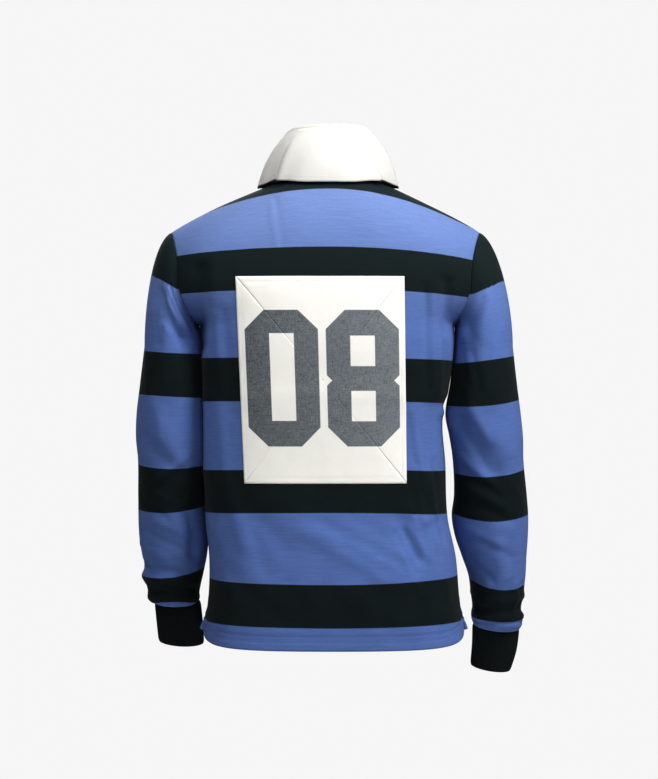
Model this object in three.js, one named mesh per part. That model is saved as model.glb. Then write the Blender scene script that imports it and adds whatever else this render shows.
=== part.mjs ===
// A long-sleeved rugby shirt, filled out as it is when worn, with no wearer in it.
// Sizes are in millimetres. Z is up, the front faces -Y, and the wearer's left is +X.
// The origin is the middle of the neck's base, at the height of the shoulders beside the collar.
import * as THREE from "three";

// Cloth thicknesses, and the gaps that keep the pieces apart
const JERSEY = 1.8;
const HEM_EXTRA = 0.9; // the hem is turned up, so it stands proud of the panel
const HEM_DEPTH = 20;
const TWILL = 2.0;
const RIB_KNIT = 2.4;
const PATCH_CLOTH = 1.0;
const PLACKET_CLOTH = 1.6;
const SEAM_GAP = 0.3;

// Heights that the body is cut to
const BACK_HEM = -671;
const FRONT_HEM = -662;
const BACK_HEM_RISE = 24; // how much higher the hem is at the sides
const FRONT_HEM_RISE = 12;
const VENT_TOP = -616;
const VENT_SHARE = 0.13; // the vents' share of the steps from the hem up to the underarm
const VENT_OPENING = 9; // how far a panel's lower corners stand out behind or in front
const UNDERARM = -205;

// The armhole
const ARMHOLE_LOWER = 67; // from the underarm up to the armhole's widest level
const UNDERARM_HALF = 187;
const ARMHOLE_SPREAD = 24;
const ROW_DROOP = 2.2; // how sharply a row turns down towards the armhole

// A section is between an oval and a rounded box, by this much of the box
const BOXY = 0.06;

// Each arm presses the side of the body in a little, down to the height where it comes away
const PRESS_DEPTH = 6;
const PRESS_WIDTH = 26;
const PRESS_TOP = -212;
const PRESS_BOTTOM = { left: -440, right: -345 };

// The neckline and the shoulder seam
const NECK_HALF = 66;
const NECK_SHARE = 0.33; // the neckline's share of each panel's top edge
const NECK_POINT_Y = -2;
const NECK_POINT_Z = 9;
const SHOULDER_RUN = 160;
const SHOULDER_SLOPE = 0.43;
const SHOULDER_TIP_DROP = 8;
const GIRDLE_SHIFT = 5; // the shoulders' middle is this far towards the left sleeve
const SHOULDER_PULL = 1.18; // how far the curve over the shoulder is pulled at both ends, for each unit it spans

// Folds die away within this share of a panel's half beside its sides, and between these levels below its top
const SIDE_CALM = 0.12;
const TOP_CALM = 2.9;
const TOP_CALM_RUN = 0.5;

// The sleeves
const FOLD_ARC = 0.95; // millimetres of sleeve for each degree round it
const SLEEVE_MOUTH = [62, 46, 32, 22, 13, 6, 0]; // the heights above its end at which the bunched mouth is divided
// The head leaves the armhole outwards and arrives straight down: each pull's length beside the body and at the tip
const HEAD_LEAVE = { beside: 8, tip: 92 };
const HEAD_ARRIVE = { beside: 34, tip: 190 };
const HEAD_TURN = 0.12; // how far the first pull turns to the back or the front
const HEAD_DROP = 0.42; // and how far it drops at the tip

// The placket
const SLIT_BOTTOM = -222;
const SLIT_SHARE = 0.008; // half the slit, as a share of half the panel
const PLACKET_SHARE = 0.058;
const PLACKET_UNDER_SHARE = 0.046;
const PLACKET_GAP = 0.45; // between a strip of the placket and the front
const BUTTON_RADIUS = 8;
const BUTTON_LEVELS = [2.62, 2.2, 1.42];

// The patch: its corners' distances from the middle, its top and bottom, and how far it lies off the back
const PATCH = { left: 133, right: -107, lowLeft: 121, lowRight: -111, top: -137, bottom: -432.5 };
const PATCH_LIFT = 1.9;

// The collar
const STAND_SHARE = 0.62; // of the way from the neckline up to the fold
const FOLD_RADIUS = 4;
const FOLD_HALF = 59;
const FOLD_BEHIND = 50;
const FOLD_BEFORE = 70;
const FOLD_TOP = 81;
const FOLD_DROP = 101; // from the back of the neck to the front
const FOLD_CURVE = 2.2;
const FALL_BULGE = 12; // the pull of the fall's curve away from the neck, and upwards
const FALL_RISE = 6;
const COLLAR_TILT = 0.015; // the fold is higher on the right
const COLLAR_LIFT = 4.2; // the fall's edge over the panel that it lies on
const STAND_BOW = 3;
// Where the fall's edge lies: its level at the middle of the back, its corner on the shoulder and its point in front
const FALL_BACK_LEVEL = 2.78;
const FALL_CORNER = { share: 0.475, level: 2.995 };
// Beside the neck the edge hangs lower and stands off the back, so that it turns the corner smoothly
const FALL_BEND = { share: 0.31, width: 0.07, drop: 0.07, lift: 4 };
const FALL_POINT = { share: 0.2, level: 2.3 };

// How finely each piece is divided
const HEM_ROWS = 2;
const ROWS_VENT = 2; // between the hem's turning and the top of the side vents
const ROWS_BODY = 11;
const ROWS_ARMHOLE_LOWER = 6;
const ROWS_ARMHOLE_UPPER = 7;
const ROWS_SLEEVE_HEAD = 8;
const ROWS_SLEEVE = 8;
const RIBS = 30;
const RIB_HEIGHT = 0.8;

const V = (x, y, z) => new THREE.Vector3(x, y, z);
const lerp = (a, b, t) => a + (b - a) * t;
const clamp01 = (t) => Math.min(1, Math.max(0, t));
const ease = (t) => clamp01(t) ** 2 * (3 - 2 * clamp01(t));
const steps = (n, from, to) => Array.from({ length: n + 1 }, (_, i) => lerp(from, to, i / n));
const degrees = THREE.MathUtils.degToRad;

// The torso's sections: its middle, half its width, and its depth behind and in front of the side seams
const TORSO = [
  { z: -671, centre: -7, half: 193, back: 117, front: 109 },
  { z: -601, centre: -7, half: 184, back: 115, front: 110 },
  { z: -543, centre: -5, half: 181, back: 111, front: 112 },
  { z: -485, centre: 4, half: 178, back: 107, front: 114 },
  { z: -411, centre: 6, half: 177, back: 108, front: 118 },
  { z: -324, centre: 8, half: 177, back: 116, front: 125 },
  { z: -308, centre: 5, half: 181.5, back: 118, front: 126 },
  { z: -290, centre: 3, half: 183, back: 119, front: 127 },
  { z: -240, centre: 2, half: 187, back: 124, front: 129 },
  { z: -205, centre: 3, half: 187, back: 126, front: 129 },
  { z: -150, centre: 6, half: 187, back: 127, front: 126 },
  { z: -100, centre: 6, half: 187, back: 122, front: 117 },
];

// The sleeves' sections below the armhole: the outer and inner edges as seen from behind, the middle of
// the depth, half the depth, how far the section leans with the forearm, in degrees, and how far it falls
// towards the outer side, as a slope
const LEFT_SLEEVE = [
  { z: -235, outer: 270.5, inner: 187, middle: 4, deep: 73, lean: 0, slope: 0 },
  { z: -290, outer: 277, inner: 182, middle: 6, deep: 70, lean: 0, slope: 0 },
  { z: -335, outer: 282.5, inner: 181, middle: 3, deep: 66, lean: 2, slope: 0 },
  { z: -368, outer: 283.5, inner: 179.5, middle: 0, deep: 63, lean: 4, slope: 0 },
  { z: -400, outer: 281, inner: 180.5, middle: -6, deep: 61, lean: 7, slope: 0 },
  { z: -455, outer: 281.5, inner: 183.5, middle: -17, deep: 59, lean: 9, slope: 0 },
  { z: -514, outer: 281, inner: 178.5, middle: -31, deep: 57, lean: 10, slope: 0 },
  { z: -543, outer: 277, inner: 181, middle: -37, deep: 54, lean: 11, slope: 0 },
  { z: -558, outer: 274.5, inner: 184, middle: -40, deep: 52, lean: 11, slope: 0 },
  { z: -574, outer: 276, inner: 187.5, middle: -43, deep: 52, lean: 11, slope: 0 },
  { z: -589, outer: 272, inner: 191, middle: -46, deep: 48, lean: 11, slope: 0 },
  { z: -601, outer: 270, inner: 193, middle: -48, deep: 46, lean: 11, slope: 0 },
  { z: -608, outer: 269.5, inner: 192.5, middle: -50, deep: 44, lean: 11, slope: 0 },
  { z: -614, outer: 260, inner: 195, middle: -51, deep: 31, lean: 11, slope: 0 },
];
const RIGHT_SLEEVE = [
  { z: -235, outer: 269.5, inner: 183.5, middle: 4, deep: 73, lean: 0, slope: 0 },
  { z: -290, outer: 275.5, inner: 177.5, middle: 6, deep: 70, lean: 0, slope: 0 },
  { z: -335, outer: 281.5, inner: 171, middle: 3, deep: 66, lean: 2, slope: 0 },
  { z: -368, outer: 285, inner: 177, middle: 0, deep: 63, lean: 4, slope: 0 },
  { z: -400, outer: 286, inner: 182, middle: -6, deep: 61, lean: 7, slope: 0 },
  { z: -455, outer: 292, inner: 184.5, middle: -17, deep: 59, lean: 10, slope: 0 },
  { z: -485, outer: 294.5, inner: 181.5, middle: -23, deep: 58, lean: 11, slope: 0 },
  { z: -514, outer: 294.5, inner: 186.5, middle: -30, deep: 56, lean: 11, slope: 0 },
  { z: -543, outer: 293, inner: 196.5, middle: -36, deep: 53, lean: 11, slope: 0 },
  { z: -573, outer: 292, inner: 207, middle: -42, deep: 49, lean: 11, slope: 0 },
  { z: -602, outer: 289, inner: 211, middle: -48, deep: 46, lean: 11, slope: 0.03 },
  { z: -624, outer: 286, inner: 213.5, middle: -52, deep: 42, lean: 11, slope: 0.06 },
  { z: -634, outer: 289, inner: 212, middle: -54, deep: 42, lean: 11, slope: 0.08 },
  { z: -644, outer: 288, inner: 213, middle: -56, deep: 39, lean: 11, slope: 0.09 },
  { z: -651, outer: 284, inner: 216, middle: -57, deep: 31, lean: 11, slope: 0.1 },
];
const LEFT_CUFF = [
  { z: -614, outer: 259, inner: 192, middle: -51, deep: 29, lean: 11, slope: 0 },
  { z: -645, outer: 256.5, inner: 189, middle: -57, deep: 28, lean: 11, slope: -0.03 },
  { z: -674, outer: 254, inner: 187.5, middle: -63, deep: 28.5, lean: 11, slope: -0.06 },
];
const RIGHT_CUFF = [
  { z: -651, outer: 283.5, inner: 215, middle: -57, deep: 29, lean: 11, slope: 0.1 },
  { z: -683, outer: 279.5, inner: 214.5, middle: -63, deep: 28, lean: 10, slope: 0.12 },
  { z: -713, outer: 271, inner: 212.5, middle: -69, deep: 28, lean: 9, slope: 0.14 },
];

// The largest folds of the panels: a soft ridge, or a trough where height is negative, from one point to
// another, each given by its distance from the body's middle and its height
const BACK_FOLDS = [
  { x0: 186, z0: -128, x1: 181, z1: -232, width: 13, height: -6 },
  { x0: 168, z0: -150, x1: 166, z1: -430, width: 17, height: 3.5 },
  { x0: -168, z0: -146, x1: -166, z1: -318, width: 9, height: -5 },
  { x0: -156, z0: -152, x1: -160, z1: -300, width: 10, height: 2.5 },
  { x0: -124, z0: -325, x1: -150, z1: -470, width: 12, height: 3.5 },
  { x0: -104, z0: -488, x1: -128, z1: -536, width: 13, height: -4.5 },
  { x0: -146, z0: -486, x1: -160, z1: -520, width: 12, height: 3 },
  { x0: 60, z0: -470, x1: -80, z1: -545, width: 34, height: 3 },
  { x0: 150, z0: -480, x1: 160, z1: -600, width: 22, height: -3 },
];
const FRONT_FOLDS = [
  { x0: 180, z0: -150, x1: 150, z1: -330, width: 16, height: -5 },
  { x0: -170, z0: -150, x1: -140, z1: -330, width: 16, height: -5 },
  { x0: 120, z0: -360, x1: 90, z1: -560, width: 20, height: 4 },
  { x0: -100, z0: -340, x1: -125, z1: -570, width: 22, height: 4 },
  { x0: 60, z0: -430, x1: 20, z1: -600, width: 20, height: -3.5 },
  { x0: -30, z0: -400, x1: -55, z1: -590, width: 18, height: -3 },
];
// The sleeves' folds: the angle is 0 on the outer side, 90 at the back and 180 against the body
const LEFT_SLEEVE_FOLDS = [
  { a0: 62, z0: -160, a1: 118, z1: -222, width: 11, height: -6 },
  { a0: 88, z0: -152, a1: 136, z1: -205, width: 10, height: 3 },
  { a0: 48, z0: -196, a1: 64, z1: -228, width: 10, height: -3 },
  { a0: 60, z0: -320, a1: 100, z1: -395, width: 14, height: 3 },
  { a0: 40, z0: -370, a1: 95, z1: -408, width: 13, height: -3 },
  { a0: 75, z0: -470, a1: 115, z1: -500, width: 13, height: 3 },
  { a0: 120, z0: -480, a1: 128, z1: -540, width: 11, height: -4 },
  { a0: 250, z0: -330, a1: 200, z1: -385, width: 15, height: -4 },
  { a0: 300, z0: -360, a1: 235, z1: -420, width: 16, height: 3 },
];
const RIGHT_SLEEVE_FOLDS = [
  { a0: 128, z0: -205, a1: 92, z1: -168, width: 12, height: -3 },
  { a0: 100, z0: -215, a1: 74, z1: -170, width: 11, height: 2 },
  { a0: 128, z0: -345, a1: 82, z1: -420, width: 14, height: -4 },
  { a0: 112, z0: -330, a1: 60, z1: -390, width: 16, height: 2.5 },
  { a0: 84, z0: -505, a1: 82, z1: -560, width: 13, height: 2.5 },
  { a0: 52, z0: -590, a1: 54, z1: -622, width: 10, height: 3 },
  { a0: 250, z0: -330, a1: 200, z1: -385, width: 15, height: -4 },
  { a0: 300, z0: -360, a1: 235, z1: -420, width: 16, height: 3 },
];

// The value of one column of a table at a height, on a smooth curve through its rows
function columnAt(table, name, z) {
  const rising = table[0].z < table[table.length - 1].z;
  const rows = rising ? table : [...table].reverse();
  const last = rows.length - 1;
  const slope = (i) => (rows[i + 1][name] - rows[i][name]) / (rows[i + 1].z - rows[i].z);
  const tangent = (i) => {
    if (i === 0) return slope(0);
    if (i === last) return slope(last - 1);
    return (slope(i - 1) + slope(i)) / 2;
  };
  const at = Math.min(rows[last].z, Math.max(rows[0].z, z));
  let i = rows.findIndex((row) => row.z >= at) - 1;
  i = Math.max(0, i);
  const run = rows[i + 1].z - rows[i].z;
  const t = (at - rows[i].z) / run;
  const start = rows[i][name] * (1 + 2 * t) * (1 - t) ** 2;
  const end = rows[i + 1][name] * t * t * (3 - 2 * t);
  return start + end + run * t * (1 - t) * (tangent(i) * (1 - t) - tangent(i + 1) * t);
}

// How far the folds push a point out, from its two coordinates along the cloth
function foldHeight(folds, across, z) {
  let height = 0;
  for (const fold of folds) {
    const run = [fold.across1 - fold.across0, fold.z1 - fold.z0];
    const off = [across - fold.across0, z - fold.z0];
    const share = clamp01((run[0] * off[0] + run[1] * off[1]) / (run[0] ** 2 + run[1] ** 2));
    const away = Math.hypot(off[0] - share * run[0], off[1] - share * run[1]);
    height += fold.height * Math.exp(-((away / fold.width) ** 2));
  }
  return height;
}
const panelFolds = (folds) => folds.map((f) => ({ ...f, across0: f.x0, across1: f.x1 }));
const sleeveFolds = (folds) => folds.map((f) => ({ ...f, across0: f.a0 * FOLD_ARC, across1: f.a1 * FOLD_ARC }));

// A section's shares of the half width and of the depth, from the panel's middle (0) to its side (a quarter turn)
const acrossSection = (a) => (Math.sin(a) + BOXY * Math.sin(3 * a)) / (1 - BOXY);
const throughSection = (a) => (Math.cos(a) - BOXY * Math.cos(3 * a)) / (1 - BOXY);

const BACK = {
  sign: 1,
  depth: "back",
  hem: BACK_HEM,
  hemRise: BACK_HEM_RISE,
  flare: 2,
  bladeZ: -108,
  armholeAngle: degrees(59),
  neckDepth: 62,
  neckRise: 20,
  neckPower: 1.5,
  neckLean: V(0, -0.5, 0.86),
  folds: panelFolds(BACK_FOLDS),
};
const FRONT = {
  sign: -1,
  depth: "front",
  hem: FRONT_HEM,
  hemRise: FRONT_HEM_RISE,
  flare: 12,
  bladeZ: -116,
  armholeAngle: degrees(61),
  neckDepth: 82,
  neckRise: -64,
  neckPower: 1.2,
  neckLean: V(0, 0.5, 0.86),
  folds: panelFolds(FRONT_FOLDS),
};

const armPress = (z, isLeft) => {
  const bottom = isLeft ? PRESS_BOTTOM.left : PRESS_BOTTOM.right;
  return PRESS_DEPTH * ease((PRESS_TOP - z) / 45) * ease((z - bottom) / 60);
};

// From the hem to the underarm: u is -1 to 1 across the panel, and h is 0 to 1 up it
function lowerBody(side, u, h) {
  const edge = Math.abs(u);
  const lowest = side.hem + side.hemRise * edge ** 3;
  const sewn = (h - VENT_SHARE) / (1 - VENT_SHARE);
  const z = sewn < 0 ? lerp(lowest, VENT_TOP, h / VENT_SHARE) : lerp(VENT_TOP, UNDERARM, sewn);
  const angle = (u * Math.PI) / 2;
  const half = columnAt(TORSO, "half", z);
  const point = V(
    columnAt(TORSO, "centre", z) + half * acrossSection(angle),
    side.sign * columnAt(TORSO, side.depth, z) * throughSection(angle),
    z,
  );
  const open = clamp01((VENT_TOP - z) / (VENT_TOP - BACK_HEM)) * edge ** 8;
  point.x -= Math.sign(u) * armPress(z, u > 0) * Math.exp(-((point.y / PRESS_WIDTH) ** 2));
  point.y += side.sign * VENT_OPENING * open;
  point.x += Math.sign(u) * side.flare * open;
  return point;
}

// From the underarm to the armhole's widest level, s is 0 to 1: the panel's edge leaves the side for the armhole
function besideArmhole(side, u, s) {
  const turn = Math.sin((s * Math.PI) / 2);
  const middleZ = lerp(UNDERARM, side.bladeZ, s);
  const edgeZ = UNDERARM + ARMHOLE_LOWER * (1 - Math.cos((s * Math.PI) / 2));
  const widest = lerp(Math.PI / 2, side.armholeAngle, turn);
  const scale = (UNDERARM_HALF + ARMHOLE_SPREAD * ease(s)) / acrossSection(widest);
  return V(
    columnAt(TORSO, "centre", middleZ) + scale * acrossSection(u * widest),
    side.sign * columnAt(TORSO, side.depth, middleZ) * throughSection(u * widest),
    lerp(middleZ, edgeZ, Math.abs(u) ** ROW_DROOP),
  );
}

// The panel's top edge: the neckline, then the shoulder seam out to the armhole
function topEdge(side, u) {
  const edge = Math.abs(u);
  if (edge <= NECK_SHARE) {
    const a = ((edge / NECK_SHARE) * Math.PI) / 2;
    return V(
      Math.sign(u) * NECK_HALF * Math.sin(a),
      NECK_POINT_Y + side.sign * side.neckDepth * Math.cos(a),
      NECK_POINT_Z + side.neckRise * Math.max(0, Math.cos(a)) ** side.neckPower,
    );
  }
  const share = (edge - NECK_SHARE) / (1 - NECK_SHARE);
  return V(
    Math.sign(u) * (NECK_HALF + SHOULDER_RUN * share) + GIRDLE_SHIFT * ease(1.6 * share),
    NECK_POINT_Y - 4 * Math.sin(share * Math.PI),
    NECK_POINT_Z - SHOULDER_SLOPE * SHOULDER_RUN * share - SHOULDER_TIP_DROP * share ** 4,
  );
}

// From the armhole's widest level over the shoulder to the top edge, r is 0 to 1
function overShoulder(side, u, r) {
  const start = besideArmhole(side, u, 1);
  const end = topEdge(side, u);
  const reach = SHOULDER_PULL * start.distanceTo(end);
  const leave = start.clone().sub(besideArmhole(side, u, 0.98)).setLength(reach);
  const level = V(0, -side.sign, -0.06);
  const arrive = side.neckLean.clone().lerp(level, ease(Math.abs(u) / NECK_SHARE / 1.1)).setLength(reach);
  const back = (1 - r) ** 2;
  return start.multiplyScalar((1 + 2 * r) * back)
    .addScaledVector(leave, r * back)
    .addScaledVector(end, r * r * (3 - 2 * r))
    .addScaledVector(arrive, -r * r * (1 - r));
}

// The whole panel, h from 0 at the hem, 1 at the underarm and 2 at the armhole's widest level to 3 at the top
function panelForm(side, u, h) {
  if (h <= 1) return lowerBody(side, u, h);
  if (h <= 2) return besideArmhole(side, u, h - 1);
  return overShoulder(side, u, h - 2);
}

// The panel with its folds, which die away towards its edges, so that seams still meet
function panelPoint(side, u, h) {
  const point = panelForm(side, u, h);
  const calm = ease((1 - Math.abs(u)) / SIDE_CALM) * ease((TOP_CALM - h) / TOP_CALM_RUN);
  const height = calm * foldHeight(side.folds, point.x, point.z);
  const turned = 0.01;
  const alongU = panelForm(side, u + turned, h).sub(panelForm(side, u - turned, h));
  const lower = Math.max(0, h - turned);
  const alongH = panelForm(side, u, Math.min(3, h + turned)).sub(panelForm(side, u, lower));
  const normal = alongU.cross(alongH).normalize();
  if (normal.y * side.sign < 0 && Math.abs(normal.y) > 0.05) normal.negate();
  return point.addScaledVector(normal, height);
}

// A grid of points with its normals, which point away from the place given as inside
function gridPiece(points, { inside, round = false, missing = () => false }) {
  const rows = points.length;
  const columns = points[0].length;
  const pick = (i, j) => points[i][round ? (j + columns) % columns : Math.min(columns - 1, Math.max(0, j))];
  const row = (i) => Math.min(rows - 1, Math.max(0, i));
  const normals = points.map((line, i) =>
    line.map((_, j) => {
      const along = pick(row(i + 1), j).clone().sub(pick(row(i - 1), j));
      const across = pick(i, j + 1).clone().sub(pick(i, j - 1));
      return along.cross(across).normalize();
    }),
  );
  let facing = 0;
  points.forEach((line, i) =>
    line.forEach((p, j) => {
      facing += normals[i][j].dot(p.clone().sub(inside).normalize());
    }),
  );
  if (facing < 0) normals.forEach((line) => line.forEach((n) => n.negate()));
  return { points, normals, round, missing };
}

const isRim = (piece, i, j) =>
  i === 0 || i === piece.points.length - 1 || (!piece.round && (j === 0 || j === piece.points[0].length - 1));

// Where pieces meet at a seam, their walls are cut on one shared slant, so that they don't cross
function mitreSeams(pieces) {
  const rims = [];
  for (const piece of pieces)
    piece.points.forEach((line, i) =>
      line.forEach((point, j) => {
        const normal = piece.normals[i][j];
        if (isRim(piece, i, j)) rims.push({ piece, point, own: normal.clone(), normal });
      }),
    );
  for (const a of rims)
    for (const b of rims)
      if (a.piece !== b.piece && a.point.distanceTo(b.point) < 3 * SEAM_GAP) a.normal.add(b.own);
  for (const a of rims) a.normal.normalize();
}

// Both sides of a seam are split into triangles the same way, from the end that comes first in this order
const seamOrder = (p) => p.z + 0.31 * p.y + 0.11 * p.x;

// The closed wall between a grid and the same grid moved in by the cloth's thickness
function wall(piece, thickness) {
  const { points, normals, round, missing } = piece;
  const rows = points.length;
  const columns = points[0].length;
  const outer = points.flat();
  const inner = points.flatMap((line, i) =>
    line.map((p, j) => {
      const depth = typeof thickness === "function" ? thickness(i, j) : thickness;
      return p.clone().addScaledVector(normals[i][j], -depth);
    }),
  );
  const at = (i, j) => i * columns + (round ? j % columns : j);
  const quads = [];
  const used = new Set();
  for (let i = 0; i < rows - 1; i++)
    for (let j = 0; j < columns - (round ? 0 : 1); j++)
      if (!missing(i, j)) {
        const quad = [at(i, j), at(i, j + 1), at(i + 1, j + 1), at(i + 1, j)];
        quads.push(quad);
        quad.forEach((a, k) => used.add(`${a},${quad[(k + 1) % 4]}`));
      }
  const faces = [];
  const inside = outer.length;
  for (const [a, b, c, d] of quads) {
    const even = outer[a].distanceTo(outer[c]) < outer[b].distanceTo(outer[d]);
    const halves = even ? [[a, b, c], [a, c, d]] : [[a, b, d], [b, c, d]];
    for (const [p, q, r] of halves) faces.push([p, q, r], [inside + p, inside + r, inside + q]);
  }
  for (const quad of quads)
    quad.forEach((a, k) => {
      const b = quad[(k + 1) % 4];
      if (used.has(`${b},${a}`)) return;
      const uphill = seamOrder(outer[b]) > seamOrder(outer[a]);
      if (uphill) faces.push([b, a, inside + a], [b, inside + a, inside + b]);
      else faces.push([b, a, inside + b], [a, inside + a, inside + b]);
    });
  return closedGeometry([...outer, ...inner], faces);
}

// A geometry of shared points, with its faces turned outwards
function closedGeometry(points, faces) {
  let volume = 0;
  for (const [a, b, c] of faces) volume += points[a].dot(points[b].clone().cross(points[c]));
  const turned = volume < 0 ? faces.map(([a, b, c]) => [a, c, b]) : faces;
  const geometry = new THREE.BufferGeometry();
  geometry.setAttribute("position", new THREE.Float32BufferAttribute(points.flatMap((p) => p.toArray()), 3));
  geometry.setIndex(turned.flat());
  geometry.computeVertexNormals();
  return geometry;
}

const BODY_CENTRE = V(5, 0, -320);
// A panel stops half a seam gap short of its side, and half a gap short of its top edge
const SIDE_STOP = 1 - SEAM_GAP / 2 / 280;
const TOP_STOP = 3 - SEAM_GAP / 2 / 130;
const shoulderShares = [...steps(7, NECK_SHARE, 0.97), SIDE_STOP];
const backNeckShares = steps(12, -NECK_SHARE, NECK_SHARE);
const halfNeck = [SLIT_SHARE, PLACKET_SHARE, 0.12, 0.19, 0.26];
const mirrored = (shares) => [...shares].reverse().map((u) => -u);
const backShares = [...mirrored(shoulderShares), ...backNeckShares.slice(1, -1), ...shoulderShares];
const frontShares = [...mirrored(shoulderShares), ...mirrored(halfNeck), ...halfNeck, ...shoulderShares];
const hemStep = (VENT_SHARE * HEM_DEPTH) / (VENT_TOP - BACK_HEM);
const panelRows = [
  0,
  hemStep,
  ...steps(ROWS_VENT, hemStep * 1.15, VENT_SHARE).slice(0, -1),
  ...steps(ROWS_BODY, VENT_SHARE, 1).slice(0, -1),
  ...steps(ROWS_ARMHOLE_LOWER, 1, 2),
  ...steps(ROWS_ARMHOLE_UPPER, 2, TOP_STOP).slice(1),
];
const UNDERARM_ROW = panelRows.indexOf(1);

function panelPiece(side, shares, missing) {
  const points = panelRows.map((h) => shares.map((u) => panelPoint(side, u, h)));
  return gridPiece(points, { inside: BODY_CENTRE, missing });
}

// The slit is the column of the front between the two edges of the placket's cut
const slitColumn = frontShares.indexOf(SLIT_SHARE) - 1;
const slitRow = panelRows.findIndex((h) => panelForm(FRONT, 0, h).z > SLIT_BOTTOM);
const back = panelPiece(BACK, backShares);
const front = panelPiece(FRONT, frontShares, (i, j) => j === slitColumn && i >= slitRow);

// The armhole's edge, from the shoulder's tip down the back, through the underarm and up the front
function armholeEdge(hand) {
  const climb = panelRows.slice(UNDERARM_ROW);
  const behind = [...climb].reverse().map((h) => panelForm(BACK, hand * SIDE_STOP, h));
  const before = climb.map((h) => panelForm(FRONT, hand * SIDE_STOP, h));
  return [...behind, ...before.slice(1, -1)];
}

// A sleeve's section at a height: an ellipse that leans with the arm, its angle 0 on the outer side
function armSection(table, hand, z, angle) {
  const outer = columnAt(table, "outer", z);
  const inner = columnAt(table, "inner", z);
  const through = columnAt(table, "deep", z) * Math.sin(angle);
  const lean = degrees(columnAt(table, "lean", z));
  const aside = ((outer - inner) / 2) * Math.cos(angle);
  return V(
    hand * ((outer + inner) / 2 + aside),
    columnAt(table, "middle", z) + through * Math.cos(lean),
    z - through * Math.sin(lean) - aside * columnAt(table, "slope", z),
  );
}

// The sleeve's head swings from the armhole's edge round to the first level section
function sleeveHead(table, hand, edge, angle, t) {
  const start = edge.clone();
  const end = armSection(table, hand, table[0].z, angle);
  const top = (1 + Math.cos(angle)) / 2;
  const away = V(hand * lerp(1, 0.9, top), HEAD_TURN * Math.sin(angle), -HEAD_DROP * top);
  start.addScaledVector(away.clone().normalize(), SEAM_GAP);
  away.setLength(lerp(HEAD_LEAVE.beside, HEAD_LEAVE.tip, top));
  const down = V(0, 0, -lerp(HEAD_ARRIVE.beside, HEAD_ARRIVE.tip, top ** 0.8));
  const back = (1 - t) ** 2;
  return start.multiplyScalar((1 + 2 * t) * back)
    .addScaledVector(away, t * back)
    .addScaledVector(end, t * t * (3 - 2 * t))
    .addScaledVector(down, -t * t * (1 - t));
}

function sleevePiece(table, hand, folds) {
  const edge = armholeEdge(hand);
  const count = edge.length;
  const angles = edge.map((_, j) => (2 * Math.PI * j) / count);
  const lastZ = table[table.length - 1].z;
  const mouth = SLEEVE_MOUTH.map((above) => lastZ + above);
  const levels = [...steps(ROWS_SLEEVE, table[0].z, mouth[0]), ...mouth.slice(1)];
  const heads = steps(ROWS_SLEEVE_HEAD, 0, 1).slice(0, -1);
  const points = [
    ...heads.map((t) => edge.map((p, j) => sleeveHead(table, hand, p, angles[j], t))),
    ...levels.map((z) => angles.map((a) => armSection(table, hand, z, a))),
  ];
  const plain = gridPiece(points, { inside: V(hand * 230, 0, -330), round: true });
  const ready = sleeveFolds(folds);
  const folded = points.map((line, i) =>
    line.map((p, j) => {
      const angle = THREE.MathUtils.radToDeg(angles[j]);
      const calm = ease(i / 3) * ease((p.z - lastZ - 8) / 25) * ease(Math.abs(angle - 180) / 30);
      return p.clone().addScaledVector(plain.normals[i][j], calm * foldHeight(ready, angle * FOLD_ARC, p.z));
    }),
  );
  return gridPiece(folded, { inside: V(hand * 230, 0, -330), round: true });
}

// A cuff is a tube of ribs: every other point round it stands proud, and its inside is plain
const ribHeight = (i, j) => (j % 2 && i > 0 && i < 3 ? RIB_HEIGHT : 0);
function cuffPiece(table, hand) {
  const first = table[0].z;
  const last = table[table.length - 1].z;
  const levels = [first - SEAM_GAP, first - 4, last + 4, last];
  const points = levels.map((z, i) =>
    steps(2 * RIBS, 0, 2 * Math.PI).slice(0, -1).map((a, j) => {
      const p = armSection(table, hand, z, a);
      const centre = armSection(table, hand, z, 0).add(armSection(table, hand, z, Math.PI)).multiplyScalar(0.5);
      return p.addScaledVector(p.clone().sub(centre).normalize(), ribHeight(i, j));
    }),
  );
  return gridPiece(points, { inside: V(hand * 230, -60, (first + last) / 2), round: true });
}

// The collar's curves: the angle is 0 at the middle of the back and half a turn at the middle of the front
const neckSeam = (a) => {
  const share = Math.abs(a) / (Math.PI / 2);
  if (share <= 1) return topEdge(BACK, Math.sign(a) * share * NECK_SHARE);
  return topEdge(FRONT, Math.sign(a) * (2 - share) * NECK_SHARE);
};
const foldLine = (a) => {
  const low = (1 - Math.cos(a)) / 2;
  const x = FOLD_HALF * Math.sin(a);
  const y = (Math.cos(a) > 0 ? FOLD_BEHIND : FOLD_BEFORE) * Math.cos(a);
  return V(x, y, FOLD_TOP - FOLD_DROP * low ** FOLD_CURVE - COLLAR_TILT * x);
};
const outward = (a) => V(Math.sin(a), Math.cos(a), 0);
// The fall's edge lies on the back as far as the shoulder, and on the front out to the collar's point
const fallEdge = (a) => {
  const share = Math.abs(a) / (Math.PI / 2);
  if (share <= 1) {
    const h = lerp(FALL_BACK_LEVEL, FALL_CORNER.level, (1 - Math.cos(a)) ** 2);
    const u = Math.sign(a) * FALL_CORNER.share * Math.abs(Math.sin(a)) ** 0.8;
    const bend = Math.exp(-(((Math.abs(u) - FALL_BEND.share) / FALL_BEND.width) ** 2));
    const level = Math.min(h, FALL_CORNER.level) - FALL_BEND.drop * bend;
    return lifted(BACK, u, level, COLLAR_LIFT + FALL_BEND.lift * bend);
  }
  const on = share - 1;
  const u = Math.sign(a) * lerp(FALL_CORNER.share, FALL_POINT.share, ease(on));
  return lifted(FRONT, u, lerp(FALL_CORNER.level, FALL_POINT.level, on ** 1.1), COLLAR_LIFT);
};

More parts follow.
